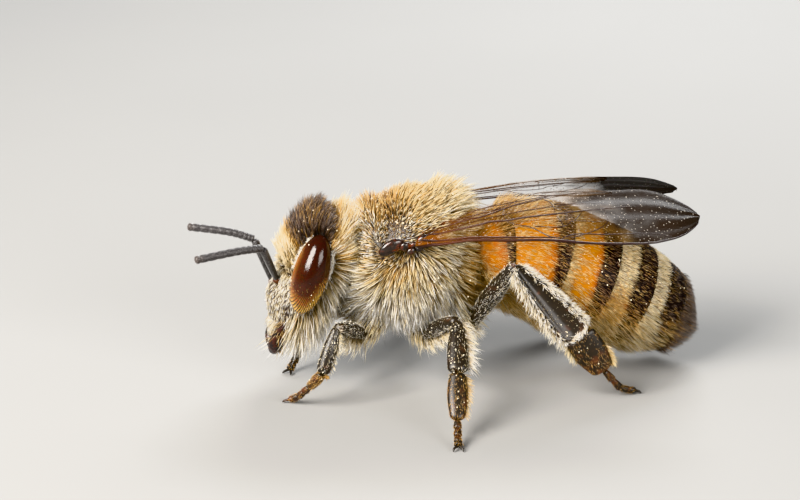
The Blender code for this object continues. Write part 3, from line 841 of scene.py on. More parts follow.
def thorax_chance(points, normals, height, around):
    """How likely hair is to grow on each part of the thorax."""
    hinge = np.abs(points) - WING_BASE * np.array([0, 1, 1])
    hinge[..., 0] = points[..., 0] - WING_BASE[0]
    hinge[..., 0] = np.maximum(np.abs(hinge[..., 0] + 0.35) - 0.35, 0)
    bare = np.exp(-(hinge ** 2).sum(-1) / 0.34 ** 2)
    inner = step(1.35, 1.75, points[..., 0]) * (np.abs(points[..., 1]) < 0.8)
    flank = step(0.75, 0.45, np.abs(normals[..., 2])) * (points[..., 0] > -1.0)
    return ((1 + 0.25 * back_patch(points)) * (1 - 0.85 * bare) * (1 - 0.8 * inner)
            * (1 - 0.35 * flank) * (1 + 0.7 * velvet(points)))


rng = np.random.default_rng(12)
thorax_grid = thorax_points.reshape(THORAX_RINGS, THORAX_SIDES, 3)
spots, normals, shares, _ = scatter(thorax_grid, 33000, thorax_chance, rng)
top = step(0.30, 0.75, normals[:, 2])
under = step(0.35, 0.85, -normals[:, 2])
flank = (1 - top) * (1 - under)
collar = step(0.75, 1.25, -spots[:, 0])
rear = step(0.95, 1.40, spots[:, 0]) * (1 - top)
shield = np.exp(-(((spots - np.array([1.0, 0, 5.35])) / np.array([0.62, 1.0, 0.55])) ** 2).sum(1))
patch = back_patch(spots)
fuzz = velvet(spots)
fan = spots - WING_BASE * np.stack([np.ones(len(spots)), np.sign(spots[:, 1]),
                                    np.ones(len(spots))], 1)
lies = flat_to(unit(fan) * (flank + under)[:, None] + np.array([0.35, 0, -0.55])
               * (flank + under)[:, None] + np.array([-0.45, 0, 1.1]) * (collar * flank)[:, None]
               + np.array([1.0, 0, 0]) * (top + rear)[:, None], normals)
rise = 0.85 * top + (0.34 + 0.34 * collar) * flank + 0.45 * under
rise = np.maximum(rise * (1 - shield) + 0.80 * shield, 0.82 * fuzz)
low = step(-0.1, 0.6, -normals[:, 2])
length = (0.40 * top + (0.56 + 0.42 * low) * flank + 1.00 * under) * (1 - 0.66 * patch)
length = (length + 0.46 * rear + 0.26 * collar) * (1 - shield) + 0.95 * shield
stout = long_hairs(len(spots), 0.38, rng)
length = (length * rng.uniform(0.68 - 0.12 * shield, 1.18 + 0.14 * shield)
          * (0.80 + 0.30 * stout) * (1 - fuzz * (0.62 - 0.40 * top)))
# silver: a round patch of paler hair ahead of each wing base, partly silvery hair and partly a
# painted sheen
silver = field(spots, -1.15, 4.95, 0.30)
tan = field(spots, -0.75, 4.05, 0.36) * flank
pepper = np.where(rng.random(len(spots)) < 0.60, -0.18, 0.30)
# shadow: painted shadow, darker and warmer hair, low in the gap behind the head and low on the rear
# of the thorax
shadow = (step(0.90, 1.30, -spots[:, 0]) * step(4.2, 3.4, spots[:, 2])
          + step(0.85, 1.25, spots[:, 0]) * step(3.9, 3.3, spots[:, 2]))
crest = step(0.70, 0.95, normals[:, 2])
# low flank hair is paler (low): partly its own pale colour and partly painted light on the shaded
# underside
warmth = ((0.31 + 0.05 * crest) * top + (0.18 + 0.16 * rear) * flank + 0.02 * under
          - 0.03 * collar + 0.11 * fuzz + 0.12 * tan - 0.05 * top * (1 - fuzz)
          + 0.08 * fuzz * top + 0.06 * shadow
          + pepper * patch - 0.10 * shield - 0.14 * low * flank - 0.26 * silver
          + 0.08 * (1 - stout) - 0.04 * stout
          + rng.normal(0, 0.07, len(spots)) * (1 + 1.2 * fuzz))
thorax_paths = strands(
    "thorax_coat", thorax_hair, "thorax_hair", spots,
    *bent(normals, lies, rise, rise * (0.55 + 0.40 * fuzz), 0.12, 0.16, rng), length,
    0.022 * (0.85 + 0.45 * stout), warmth, shares, rng, every=10,
    pull=(0.35 + 0.30 * np.maximum(flank, shield)) * (1 - 0.75 * fuzz),
    # dim: painted shade on the undercoat, most in the velvet, none low down and at the rear, where
    # it is painted light on the shaded underside and rear, and the painted shadow
    dim=(1 - (0.24 + 0.28 * fuzz - 0.24 * np.maximum(low, rear)) * (1 - stout))
    * (1 - 0.42 * shadow))

# ---------------------------------------------------------------- abdomen
# Six rings of springy shell, each with its front edge tucked under the one before.  Amber
# cuticle with a dark band at the rear of each ring, black-brown towards the tip.

ABDOMEN_LINE = np.array((
    (1.72, 0, 3.62), (2.55, 0, 3.72), (3.95, 0, 3.50), (5.40, 0, 2.88), (6.80, 0, 2.20),
    (8.00, 0, 1.62), (8.72, 0, 1.30)))
ABDOMEN_WIDTH = (0.40, 1.48, 1.90, 1.92, 1.69, 1.16, 0.20)
ABDOMEN_HEIGHT = (0.36, 1.34, 1.76, 1.76, 1.57, 1.14, 0.20)
RING_ENDS = (0.0, 0.205, 0.368, 0.525, 0.670, 0.830, 1.0)
RING_SLOTS = ("abdomen_amber",) * 4 + ("abdomen_tail",) * 2
TUCK = 0.035                        # how far each ring runs under the one before it
RING_SIDES, RING_ROWS = 96, 22


def abdomen_points(shares, turns, size):
    """Points round the abdomen; turns run from the left side over the back."""
    line = smooth_through(ABDOMEN_LINE, shares)
    along = unit(smooth_through(ABDOMEN_LINE, shares + 0.01)
                 - smooth_through(ABDOMEN_LINE, shares - 0.01))
    rise = np.cross(along, ACROSS)
    width = smooth_through(ABDOMEN_WIDTH, shares)[:, 0] * size
    height = smooth_through(ABDOMEN_HEIGHT, shares)[:, 0] * size
    fold = 1 - 0.030 * np.exp(-((np.sin(turns) + 0.55) / 0.07) ** 2)
    return (line - (width * np.cos(turns) * fold)[:, None] * ACROSS
            + (height * np.sin(turns) * fold)[:, None] * rise)


# thin springy shell: amber that glows a little, going through red-brown to black, with fine
# pores that keep its shine soft
amber_cuticle, tree, shader = finish_of(
    "amber_cuticle", 0.44, 1.5, Coat_Weight=0.02, Coat_Roughness=0.25, Specular_IOR_Level=0.10,
    Subsurface_Weight=0.10, Subsurface_Scale=0.15 * MM, Subsurface_Radius=(1.0, 0.45, 0.12))
where = add(tree, "TexCoord").outputs["Object"]
dark = add(tree, "Attribute", attribute_name="band").outputs["Fac"]
cloud = add(tree, "TexNoise", {"Vector": where, "Scale": 1 / (0.32 * MM), "Detail": 6.0,
                               "Roughness": 0.65})
wobble = add(tree, "MapRange", dict(zip(RANGE, (cloud, 0.3, 0.7, -0.16, 0.16))))
dark = add(tree, "Math", {0: dark, 1: wobble}, operation="ADD")
tone = add(tree, "ValToRGB", {"Fac": dark}, (
    (0.0, "#a56a0d"), (0.28, "#9a5508"), (0.50, "#7a3f07"), (0.62, "#3a1c10"),
    (0.78, "#1c1413"), (1.0, "#151010")))
under = add(tree, "Attribute", attribute_name="felted").outputs["Fac"]
pores = add(tree, "TexVoronoi", {"Vector": where, "Scale": 1 / (0.07 * MM)})
feed(shader, {
    "Base Color": add(tree, "MixRGB", {"Fac": under, "Color1": tone,
                                       "Color2": linear("#7d6b56")}),
    "Normal": add(tree, "Bump", {"Height": pores, "Strength": 0.3, "Distance": 0.01 * MM})})

# where the dark band starts within each ring, as a share of its length, how dark the front of
# the ring is, and the share of each ring that lies under pale felt
BAND_START = (0.93, 0.80, 0.66, 0.52, 0.34, 0.10)
FRONT_DARK = (0.26, 0.10, 0.05, 0.90, 0.92, 0.92)
FELT_END = (0.0, 0.0, 0.20, 0.46, 0.36, 0.0)
ring_skins = []
for number, (start, end) in enumerate(zip(RING_ENDS, RING_ENDS[1:])):
    lead = 0.0 if number == 0 else TUCK
    shares = np.append(np.linspace(start - lead, end, RING_ROWS), [end + 0.004, end + 0.004])
    size = np.interp(shares, [start - lead, start, end], [0.955, 0.970, 1.0])
    size[-2], size[-1] = 0.985, 0.90
    shares = np.clip(shares, 0, 1)
    turns = np.tile(np.arange(RING_SIDES) * 2 * math.pi / RING_SIDES, len(shares))
    points = abdomen_points(np.repeat(shares, RING_SIDES), turns, np.repeat(size, RING_SIDES))
    plate = build(f"tergite_shell_{number + 1}", points, ring_faces(len(shares), RING_SIDES),
                  amber_cuticle, RING_SLOTS[number], f"tergite_{number + 1}")
    inside = np.clip((np.repeat(shares, RING_SIDES) - start) / (end - start), 0, 1)
    over = np.sin(turns)
    edge_at = BAND_START[number] - 0.10 * np.clip(over, 0, 1) + 0.12 * np.clip(-over, 0, 1)
    front_dark = FRONT_DARK[number] * (1 - 0.85 * step(0.30, 0.0, over) * (number == 3))
    mark(plate, "band",
         front_dark + (1 - front_dark) * np.clip((inside - edge_at) / 0.24 + 0.5, 0, 1))
    mark(plate, "felted", (number in (3, 4)) * step(-0.35, 0.25, over)
         * step(FELT_END[number] + 0.08, FELT_END[number] - 0.12, inside))
    ring_skins.append(points.reshape(-1, RING_SIDES, 3)[2:RING_ROWS])

# ---------------------------------------------------------------- abdomen coat
# Short hair lying flat towards the tail: golden over the amber, brown and grey over the dark
# bands, pale felt across the front of the third to fifth rings, and longer below and beside
# the waist.

abdomen_hair = hair_of("abdomen_hair_golden", "#a08c72", "#ded2c0")
tail_hair = hair_of("tail_hair_grey", "#8a7c6c", "#d6ccbe", "#7b6d64", "#4a4344")
RING_HAIRS = (4400, 6400, 7400, 7200, 6200, 3600)
FELT_WARMTH = (0.4, 0.4, 0.30, 0.20, 0.18, 0.5)


def ring_chance(points, normals, height, around):
    """Hair all over the ring in hand, thickest over its felt, thinner on the third's back."""
    return 1 + 2.2 * (height < FELT_END[number]) - 0.5 * (normals[..., 2] > 0.6) * (number == 2)


rng = np.random.default_rng(13)
for number, skin in enumerate(ring_skins):
    spots, normals, shares, backward = scatter(skin, RING_HAIRS[number], ring_chance, rng)
    inside, over = shares[:, 0], normals[:, 2]
    felt = (inside < FELT_END[number] + rng.normal(0, 0.06, len(spots))).astype(float)
    below = step(-0.20, 0.55, -over)
    ridge, last = step(0.70, 0.95, over), float(number == 5)
    front = step(0.50, 0.10, inside)
    early = ((number == 0) * (0.10 + 0.90 * ridge + 1.3 * front * (1 - ridge))
             + (number == 1) * ridge * np.clip(0.7 - 0.8 * inside, 0, 1))
    lies = flat_to(backward + np.array([0, 0, -0.25]), normals)
    ridge = ridge * early
    rise = 0.20 + 0.12 * felt + 0.20 * below + 0.25 * early + 0.25 * ridge + 0.25 * last
    length = (0.17 + 0.07 * felt + 0.27 * below + 0.28 * early + 0.20 * ridge + 0.10 * last
              ) * rng.uniform(0.70, 1.25, len(spots)) * (1 - 0.5 * last * step(0.7, 1, inside))
    stout = long_hairs(len(spots), 0.35, rng) * (number in (1, 2))
    length = length * (1 + 0.30 * stout)
    ragged = rng.normal(0, 0.09, len(spots))
    dark = step(0.0, 0.10, inside + ragged - BAND_START[number] + 0.04) * (1 - felt)
    warmth = ((0.29 + 0.05 * (number == 0) + 0.02 * ridge) * (1 - dark)
              + (0.62 + 0.02 * number) * dark) * (1 - felt)
    frost = (rng.random(len(spots)) < 0.22) * dark * (number in (3, 4))
    warmth = warmth - 0.34 * frost
    sunk = step(0.45, -0.05, over) * (number == 3)
    warmth = (warmth + (FELT_WARMTH[number] + 0.22 * sunk) * felt
              + (0.34 - 0.12 * rng.random(len(spots))) * last * (1 - dark)
              - 0.16 * last * dark * rng.random(len(spots)))
    pale = below * (rng.random(len(spots)) < 0.75) * (number < 5)
    warmth = warmth * (1 - pale) + 0.27 * pale + rng.normal(0, 0.06, len(spots))
    # dim: the hair below the fourth to sixth rings is painted darker, a painted shade underneath
    strands(f"abdomen_coat_{number + 1}", abdomen_hair if number < 4 else tail_hair,
            RING_SLOTS[number], spots, *bent(normals, lies, rise, rise * 0.4, 0.12, 0.12, rng),
            length, 0.012 + 0.008 * np.maximum(np.maximum(felt, below), 0.6 * stout), warmth,
            shares, rng, joints=2, every=6, pull=0.30, dim=1 - 0.12 * below * (number > 2))

# ---------------------------------------------------------------- wings
# Two pairs of clear smoky film on a frame of brown veins, folded flat along the back, with
# each hind wing just beneath the rear edge of the forewing.  The hinge at each wing base is
# an oval cover with a cluster of small plates behind it.

WING_ROOT = np.array([-0.15, 1.80, 5.02])
# how steeply the wings of each side rise towards the middle
WING_ROOF = {LEFT: math.radians(23), RIGHT: math.radians(32)}
WING_YAW, WING_PITCH = math.radians(6.5), math.radians(-1.8)
# the right wings sit a little lower and arch more along their length
WING_DROP = {LEFT: (0.0, 0.0), RIGHT: (0.10, 0.012)}
# the left wings have the stouter veins
VEIN_STOUTNESS = {LEFT: 1.8, RIGHT: 1.0}
FILM = 0.012
# distance from the root, then leading and trailing edge, both across the wing
FORE_EDGES = np.array((
    (0.00, -0.34, -0.22), (0.40, -0.33, 0.20), (1.10, -0.18, 0.82), (1.97, -0.06, 1.34),
    (2.83, -0.02, 1.64), (3.96, 0.04, 1.99), (5.20, 0.00, 2.26), (6.30, 0.06, 2.44),
    (6.90, 0.12, 2.50), (7.40, 0.28, 2.40), (7.90, 0.54, 2.12), (8.25, 0.86, 1.86),
    (8.45, 1.12, 1.62), (8.52, 1.36, 1.40)))
HIND_EDGES = np.array((
    (0.20, 0.10, 0.30), (0.80, 0.34, 0.84), (1.70, 0.80, 1.36), (2.60, 1.16, 1.80),
    (3.60, 1.46, 2.20), (4.70, 1.74, 2.42), (5.30, 1.90, 2.48), (5.70, 2.04, 2.44),
    (5.92, 2.20, 2.34), (5.98, 2.26, 2.28)))
# each vein as its radius and points: distance from the root and across
FORE_VEINS = (
    (0.050, ((0.00, -0.38), (0.75, -0.24), (1.65, -0.05), (2.70, 0.00), (3.60, 0.06),
             (4.20, 0.07), (5.20, 0.02), (6.70, 0.12), (7.40, 0.31), (7.90, 0.56),
             (8.25, 0.88), (8.46, 1.16))),
    (0.040, ((0.05, -0.20), (0.75, -0.13), (1.65, 0.04), (2.70, 0.09), (3.60, 0.15),
             (4.25, 0.16))),
    (0.022, ((4.30, 0.14), (4.77, 0.35), (5.53, 0.38), (6.12, 0.44), (6.90, 0.53),
             (7.60, 0.48))),
    (0.018, ((4.58, 0.16), (5.11, 0.42), (5.64, 0.77), (5.72, 1.10), (5.62, 1.45))),
    (0.020, ((4.25, 0.15), (3.92, 0.21), (3.48, 0.51), (2.90, 0.62), (2.71, 0.77))),
    (0.036, ((0.02, 0.00), (0.80, 0.16), (1.93, 0.56), (2.25, 0.71), (2.71, 0.77),
             (3.21, 0.93), (4.15, 1.14), (5.00, 1.32), (5.62, 1.45), (6.50, 1.62))),
    (0.017, ((3.52, 0.57), (4.37, 0.61), (4.72, 0.84), (5.65, 0.85))),
    (0.017, ((4.37, 0.61), (4.30, 0.86), (4.17, 1.14))),
    (0.017, ((4.72, 0.84), (4.86, 1.08), (5.00, 1.32))),
    (0.017, ((3.90, 1.80), (4.06, 1.71), (4.15, 1.43), (4.17, 1.14))),
    (0.034, ((0.05, -0.04), (0.78, 0.41), (1.57, 0.78), (1.94, 0.87), (2.69, 1.36),
             (3.25, 1.65), (4.00, 1.94))),
    (0.017, ((2.71, 0.77), (2.62, 1.05), (2.69, 1.36))),
    (0.017, ((4.15, 1.63), (4.70, 1.63), (5.64, 1.72))),
    (0.018, ((0.06, 0.04), (1.10, 0.84), (1.97, 1.32), (2.83, 1.62), (3.96, 1.97),
             (5.10, 2.22), (6.00, 2.38))))
HIND_VEINS = (
    (0.026, ((0.20, 0.14), (1.00, 0.48), (2.00, 0.94), (3.20, 1.36), (4.60, 1.74),
             (5.60, 2.04))),
    (0.018, ((0.25, 0.20), (1.20, 0.76), (2.30, 1.24), (3.40, 1.66), (4.30, 2.00),
             (4.90, 2.20))),
    (0.016, ((2.30, 1.24), (2.90, 1.60), (3.30, 1.95))),
    (0.016, ((0.30, 0.26), (1.20, 0.94), (2.10, 1.42), (2.80, 1.76))))
# each pair's name, edges and veins, and how far it lies above the forewing
WING_PAIRS = (("forewing", FORE_EDGES, FORE_VEINS, 0.0),
              ("hindwing", HIND_EDGES, HIND_VEINS, -0.07))


def wing_axes(side):
    """A folded wing's own directions: along it, in towards the back, and up."""
    along = np.array([math.cos(WING_YAW) * math.cos(WING_PITCH), math.sin(WING_YAW) * side,
                      math.sin(WING_PITCH)])
    along = along / np.linalg.norm(along)
    inward = np.array([0, -side * math.cos(WING_ROOF[side]), math.sin(WING_ROOF[side])])
    inward = inward - along * (along @ inward)
    inward = inward / np.linalg.norm(inward)
    up = np.cross(along, inward)
    return along, inward, up * np.sign(up[2])


def wing_place(side, run, across, edges, lift):
    """Points of a wing's film from the distances along it and across it."""
    along, inward, up = wing_axes(side)
    lead = np.interp(run, edges[:, 0], edges[:, 1])
    trail = np.interp(run, edges[:, 0], edges[:, 2])
    chord = np.clip((across - lead) / np.maximum(trail - lead, 0.05), 0, 1)
    ripple = 0.10 * np.sin(math.pi * chord) + 0.018 * np.sin(chord * 21) - 0.004 * run ** 2
    drop, arch = WING_DROP[side]
    ripple = ripple - drop - arch * (run - 4.5) ** 2
    root = WING_ROOT * np.array([1, side, 1])
    return (root + run[:, None] * along + across[:, None] * inward
            + (ripple + lift)[:, None] * up)


def film(side, edges, lift, runs=84, steps=30):
    """A closed thin film between a wing's edges."""
    run = np.interp(np.linspace(0, 1, runs), np.linspace(0, 1, len(edges)), edges[:, 0])
    across = np.linspace(0, 1, steps)
    lead = smooth_through(edges[:, 1], np.linspace(0, 1, runs))[:, 0]
    trail = smooth_through(edges[:, 2], np.linspace(0, 1, runs))[:, 0]
    along_all = np.repeat(run, steps)
    across_all = (lead[:, None] + (trail - lead)[:, None] * across).ravel()
    top = wing_place(side, along_all, across_all, edges, lift + FILM / 2)
    low = wing_place(side, along_all, across_all, edges, lift - FILM / 2)
    loop = np.concatenate([top.reshape(runs, steps, 3), low.reshape(runs, steps, 3)[:, ::-1]], 1)
    return loop.reshape(-1, 3), ring_faces(runs, steps * 2)


# dry clear membrane: nearly invisible over most of the wing, amber at the root and smoky
# towards the tip, crinkled, and flecked with hairs that catch the light.  The flecks are
# drawn further apart than real hairs, so that they show.
wing_film, tree, shader = finish_of("smoky_wing_film", 0.44, 1.4, Specular_IOR_Level=0.14)
where = add(tree, "TexCoord").outputs["Object"]
along = add(tree, "Attribute", attribute_name="along").outputs["Fac"]
haze = add(tree, "TexNoise", {"Vector": where, "Scale": 1 / (0.9 * MM)})
drift = add(tree, "MapRange", dict(zip(RANGE, (haze, 0.3, 0.7, -0.08, 0.08))))
mixed = add(tree, "Math", {0: along, 1: drift}, operation="ADD")
tone = add(tree, "ValToRGB", {"Fac": mixed}, (
    (0.0, "#9a5a1e"), (0.10, "#93642a"), (0.52, "#7c5a2c"), (0.72, "#2a211b"), (1.0, "#1c150f")))
flecks = add(tree, "TexVoronoi", {"Vector": where, "Scale": 1 / (0.11 * MM)})
pale = add(tree, "ValToRGB", {"Fac": flecks}, ((0.12, "#b9b2a6"), (0.20, "#000000")))
smoke = add(tree, "MapRange", dict(zip(RANGE, (mixed, 0.55, 0.80, 0.06, 0.86))))
tinted = add(tree, "MapRange", dict(zip(RANGE, (along, 0.02, 0.10, 0.22, 0.0))))
smoke = add(tree, "Math", {0: smoke, 1: tinted}, operation="MAXIMUM")
fleck = add(tree, "MapRange", dict(zip(RANGE, (flecks, 0.12, 0.20, 0.85, 0.0))))
crinkle = add(tree, "TexNoise", {"Vector": where, "Scale": 1 / (0.12 * MM)})
feed(shader, {
    "Base Color": add(tree, "MixRGB", {"Fac": 0.6, "Color1": tone, "Color2": pale},
                      blend_type="LIGHTEN"),
    "Alpha": add(tree, "Math", {0: smoke, 1: fleck}, operation="MAXIMUM"),
    "Normal": add(tree, "Bump", {"Height": crinkle, "Strength": 0.35, "Distance": 0.02 * MM})})

# hollow ribs of polished cuticle: red-brown near the root and blackish towards the tip
vein_cuticle, tree, shader = finish_of("amber_to_brown_vein", 0.35, 1.54)
along = add(tree, "Attribute", attribute_name="along").outputs["Fac"]
feed(shader, {"Base Color": add(tree, "ValToRGB", {"Fac": along}, (
    (0.0, "#150d0a"), (0.05, "#2a120b"), (0.12, "#4c2412"), (0.18, "#472413"),
    (0.30, "#3a2016"), (0.50, "#2a1613"), (1.0, "#1f1413")))})

for side, label in SIDES:
    along, inward, _ = wing_axes(side)
    root = WING_ROOT * np.array([1, side, 1])
    for pair, edges, veins, lift in WING_PAIRS:
        points, faces = film(side, edges, lift)
        piece = build(f"{pair}_film_{label}", points, faces, wing_film, "wing",
                      f"{pair}_{label}")
        smoke_at = (points - root) @ along / 8.5 + 0.08 * ((points - root) @ inward - 1.0)
        mark(piece, "along", np.clip(smoke_at - 0.08 * (pair == "hindwing"), 0, 1))
        shapes = []
        for radius, path in veins:
            path = smooth_through(np.array(path), np.linspace(0, 1, len(path) * 3))
            line = wing_place(side, path[:, 0], path[:, 1], edges, lift)
            fine = np.array([1.0, 0.9, 0.40]) * radius * VEIN_STOUTNESS[side]
            shapes.append(tube(line, fine, fine, inward, 8, len(line) * 2, 0.03))
        points, faces = joined(shapes)
        piece = build(f"{pair}_veins_{label}", points, faces, vein_cuticle, "wing")
        mark(piece, "along", np.clip((points - root) @ along / 8, 0, 1))

# polished cuticle of the hinge plates: glossy black-brown with red-brown clouds
hinge_cuticle = mottled("glossy_hinge_cuticle", 0.26, 1.54, 0.15, 4.0,
                        ((0.38, "#120d0c"), (0.52, "#2c211c"), (0.62, "#3c1a10"),
                         (0.72, "#84421e")), 0.6, 0.02, Coat_Weight=0.3, Coat_Roughness=0.2)
# the centre and radii of the small plates behind the oval cover of the hinge
HINGE_PLATES = (
    ((-0.48, 2.00, 4.86), (0.16, 0.10, 0.15)), ((-0.30, 2.02, 4.72), (0.15, 0.09, 0.11)),
    ((-0.22, 2.00, 4.90), (0.13, 0.08, 0.10)), ((-0.04, 2.00, 4.78), (0.15, 0.09, 0.10)),
    ((0.18, 1.98, 4.86), (0.14, 0.08, 0.08)), ((0.06, 1.82, 5.02), (0.18, 0.10, 0.09)),
    ((0.36, 1.84, 4.96), (0.15, 0.07, 0.07)))
for side, label in SIDES:
    lean = np.array(Matrix.Rotation(math.radians(-28), 3, "Y")
                    @ Matrix.Rotation(math.radians(-20 * side), 3, "X"))
    shapes = [dome((0.41, 0.15, 0.25), lean, (-0.86, 1.92 * side, 4.82), 32, 20)]
    for spot, radii in HINGE_PLATES:
        shapes.append(dome(radii, lean, np.array(spot) * (1, side, 1), 20, 14))
    build("wing_hinge_" + label, *joined(shapes), hinge_cuticle, "tegula", "tegula_" + label)

# ---------------------------------------------------------------- legs
# Six legs of hard hollow joints, hinged end to end: hip, thigh, shin, a broad first foot
# joint, four small ones and a pair of claws.

# hard satin cuticle: brown-black with warmer feet, dusted with pale grains
leg_cuticle, tree, shader = finish_of("dark_leg_cuticle", 0.40, 1.5, Coat_Weight=0.08,
                                      Coat_Roughness=0.2)
where = add(tree, "TexCoord").outputs["Object"]
along = add(tree, "Attribute", attribute_name="along").outputs["Fac"]
cloud = add(tree, "TexNoise", {"Vector": where, "Scale": 1 / (0.3 * MM), "Detail": 5.0})
shade = add(tree, "Math", {0: along, 1: cloud}, operation="ADD")
tone = add(tree, "ValToRGB", {"Fac": shade}, (
    (0.35, "#110e0b"), (0.74, "#211a12"), (1.0, "#57301a")))
dust = add(tree, "TexVoronoi", {"Vector": where, "Scale": 1 / (0.10 * MM)})
dust = add(tree, "ValToRGB", {"Fac": dust}, ((0.10, "#cfc4a8"), (0.16, "#000000")))
feed(shader, {
    "Base Color": add(tree, "MixRGB", {"Fac": 0.30, "Color1": tone, "Color2": dust},
                      blend_type="LIGHTEN"),
    "Normal": add(tree, "Bump", {"Height": cloud, "Strength": 0.3, "Distance": 0.02 * MM})})

LEG_JOINTS = ("coxa", "femur", "tibia", "basitarsus")
# for each joint, its widths and then its thicknesses at the start, middle and end
LEG_SIZES = {
    "foreleg": (((0.55, 0.60, 0.42), (0.55, 0.55, 0.40)), ((0.26, 0.50, 0.30), (0.26, 0.42, 0.28)),
                ((0.24, 0.44, 0.40), (0.22, 0.36, 0.32)), ((0.28, 0.32, 0.26), (0.24, 0.26, 0.22))),
    "midleg": (((0.60, 0.62, 0.44), (0.60, 0.60, 0.42)), ((0.28, 0.52, 0.32), (0.26, 0.44, 0.30)),
               ((0.28, 0.58, 0.60), (0.26, 0.38, 0.36)), ((0.48, 0.60, 0.40), (0.28, 0.30, 0.24))),
    "hindleg": (((0.62, 0.64, 0.46), (0.62, 0.60, 0.44)), ((0.30, 0.60, 0.36), (0.28, 0.46, 0.32)),
                ((0.28, 0.78, 1.06), (0.26, 0.38, 0.32)), ((0.96, 1.00, 0.66), (0.30, 0.32, 0.26))),
}
LEG_WIDE = (1, 0, 0)
LEG_SIDES, LEG_RINGS = 20, 28
TOE_SIDES, TOE_RINGS = 16, 12


def dished(points, side):
    """The pollen basket: the outer face of the hind shin pressed in between its edges."""
    rings = points.reshape(-1, LEG_SIDES, 3).copy()
    middle = rings.mean(1, keepdims=True)
    out = rings - middle
    reach = np.linalg.norm(out[..., [0, 2]], axis=2, keepdims=True)
    reach = reach / reach.max(1, keepdims=True)
    outer = np.clip(out[..., 1:2] * side * 8, 0, 1)
    rings[..., 1:2] -= out[..., 1:2] * outer * 1.15 * np.exp(-(reach / 0.62) ** 4)
    return rings.reshape(-1, 3)


def toes(heel, toe):
    """Four small foot joints in a row, then the two claws."""
    toe[2] = 0.13
    sole = toe + (heel - toe) * 0.42
    sole[2] = min(sole[2], toe[2] + 0.16)
    beads = []
    stops = [heel, heel + (sole - heel) * 0.5, sole, toe + (sole - toe) * 0.35, toe]
    for near, far in zip(stops, stops[1:]):
        beads.append(tube([near, (near + far) / 2, far + (far - near) * 0.10], (0.16, 0.22, 0.26),
                          (0.16, 0.19, 0.20), LEG_WIDE, TOE_SIDES, TOE_RINGS, 0.2))
    reach = unit(toe - sole)
    spread = unit(np.cross(reach, (0, 0, 1)))
    claws = []
    for hand in (-1, 1):
        tip = toe + reach * 0.26 + spread * 0.14 * hand
        tip[2] = 0.03
        knuckle = toe + reach * 0.18 + spread * 0.12 * hand + np.array([0, 0, 0.05])
        claws.append(tube([toe, knuckle, tip], (0.09, 0.07, 0.03), (0.09, 0.07, 0.03),
                          (0.3, 0.2, 1), 10, 12, 0.2))
    return beads, claws


leg_skins, foot_skins = {}, []
for pair, sizes in LEG_SIZES.items():
    for side, label in SIDES:
        hip = node_points(f"{pair}_coxa_{label}").mean(0)
        stops = [hip + unit(THORAX_CENTRE - hip) * 0.75]
        for joint in (*LEG_JOINTS, "tarsus"):
            stops.append(far_end(f"{pair}_{joint}_{label}", stops[-1]))
        for index, joint in enumerate(LEG_JOINTS):
            start, end = stops[index], stops[index + 1]
            bow = np.array([0, 0, 0.06]) if joint == "femur" else np.zeros(3)
            points, faces = tube([start, (start + end) / 2 + bow, end], *sizes[index],
                                 LEG_WIDE, LEG_SIDES, LEG_RINGS)
            if (pair, joint) == ("hindleg", "tibia"):
                points = dished(points, side)
            part = build(f"{pair}_{joint}_shell_{label}", points, faces, leg_cuticle, "leg",
                         f"{pair}_{joint}_{label}")
            leg_skins[pair, joint, label] = points.reshape(-1, LEG_SIDES, 3)
            near, far = (0.1, 0.35) if joint == "basitarsus" else (0, 0.25)
            mark(part, "along", np.repeat(np.linspace(near, far, LEG_RINGS), LEG_SIDES))
        beads, claws = toes(stops[4], stops[5])
        foot_skins += [(label, bead[0].reshape(-1, TOE_SIDES, 3)) for bead in beads]
        points, faces = joined(beads + claws)
        foot = build(f"{pair}_toes_{label}", points, faces, leg_cuticle, "leg",
                     f"{pair}_tarsus_{label}")
        # the right feet, on the far side, are painted darker than the left: painted shade
        mark(foot, "along", np.full(len(points), 0.26 if side == LEFT else 0.14))

# ---------------------------------------------------------------- leg coat
# Pale bristles on every joint, longest on the hips and golden on the feet, with fringes along
# the edges of the thighs, shins and first foot joints and round the pollen basket.

leg_hair = hair_of("leg_hair_pale")
DOWN, BACK, BASKET = (0, 0, -1), (1, 0, 0.1), (0.74, 0, 0.66)
# per joint: hairs, their length and warmth
LEG_HAIRS = {"coxa": (900, 0.55, 0.16), "femur": (1100, 0.16, 0.08), "tibia": (360, 0.11, 0.12),
             "basitarsus": (560, 0.11, 0.42)}
# leg, joint, side the fringe stands on, hairs, length, warmth
LEG_FRINGES = (
    ("foreleg", "femur", DOWN, 220, 0.75, 0.12), ("foreleg", "tibia", BACK, 90, 0.22, 0.12),
    ("foreleg", "basitarsus", BACK, 110, 0.18, 0.42), ("midleg", "femur", DOWN, 240, 0.60, 0.12),
    ("midleg", "tibia", BACK, 170, 0.50, 0.08), ("midleg", "basitarsus", BACK, 120, 0.26, 0.30),
    ("hindleg", "femur", DOWN, 260, 0.46, 0.08), ("hindleg", "femur", BACK, 110, 0.22, 0.06),
    ("hindleg", "tibia", BASKET, 520, 0.22, 0.06),
    ("hindleg", "tibia", (-0.74, 0, -0.66), 340, 0.42, 0.09),
    ("hindleg", "basitarsus", BACK, 200, 0.24, 0.26),
    ("hindleg", "basitarsus", (-1, 0, -0.3), 160, 0.26, 0.16))


def leg_chance(points, normals, height, around):
    """Even hair on the leg joint in hand, thin on the thigh's upper front and in the basket."""
    bare = (pair == "hindleg") * (joint == "tibia")
    front = (joint == "femur") * step(-0.1, 0.7, normals[..., 2] - normals[..., 0])
    return (1 - 0.65 * front) * (1 - 0.88 * bare * np.clip(normals[..., 1] * sign * 1.6, 0, 1))


def evenly(points, normals, height, around):
    """The same chance all over."""
    return np.ones(height.shape)


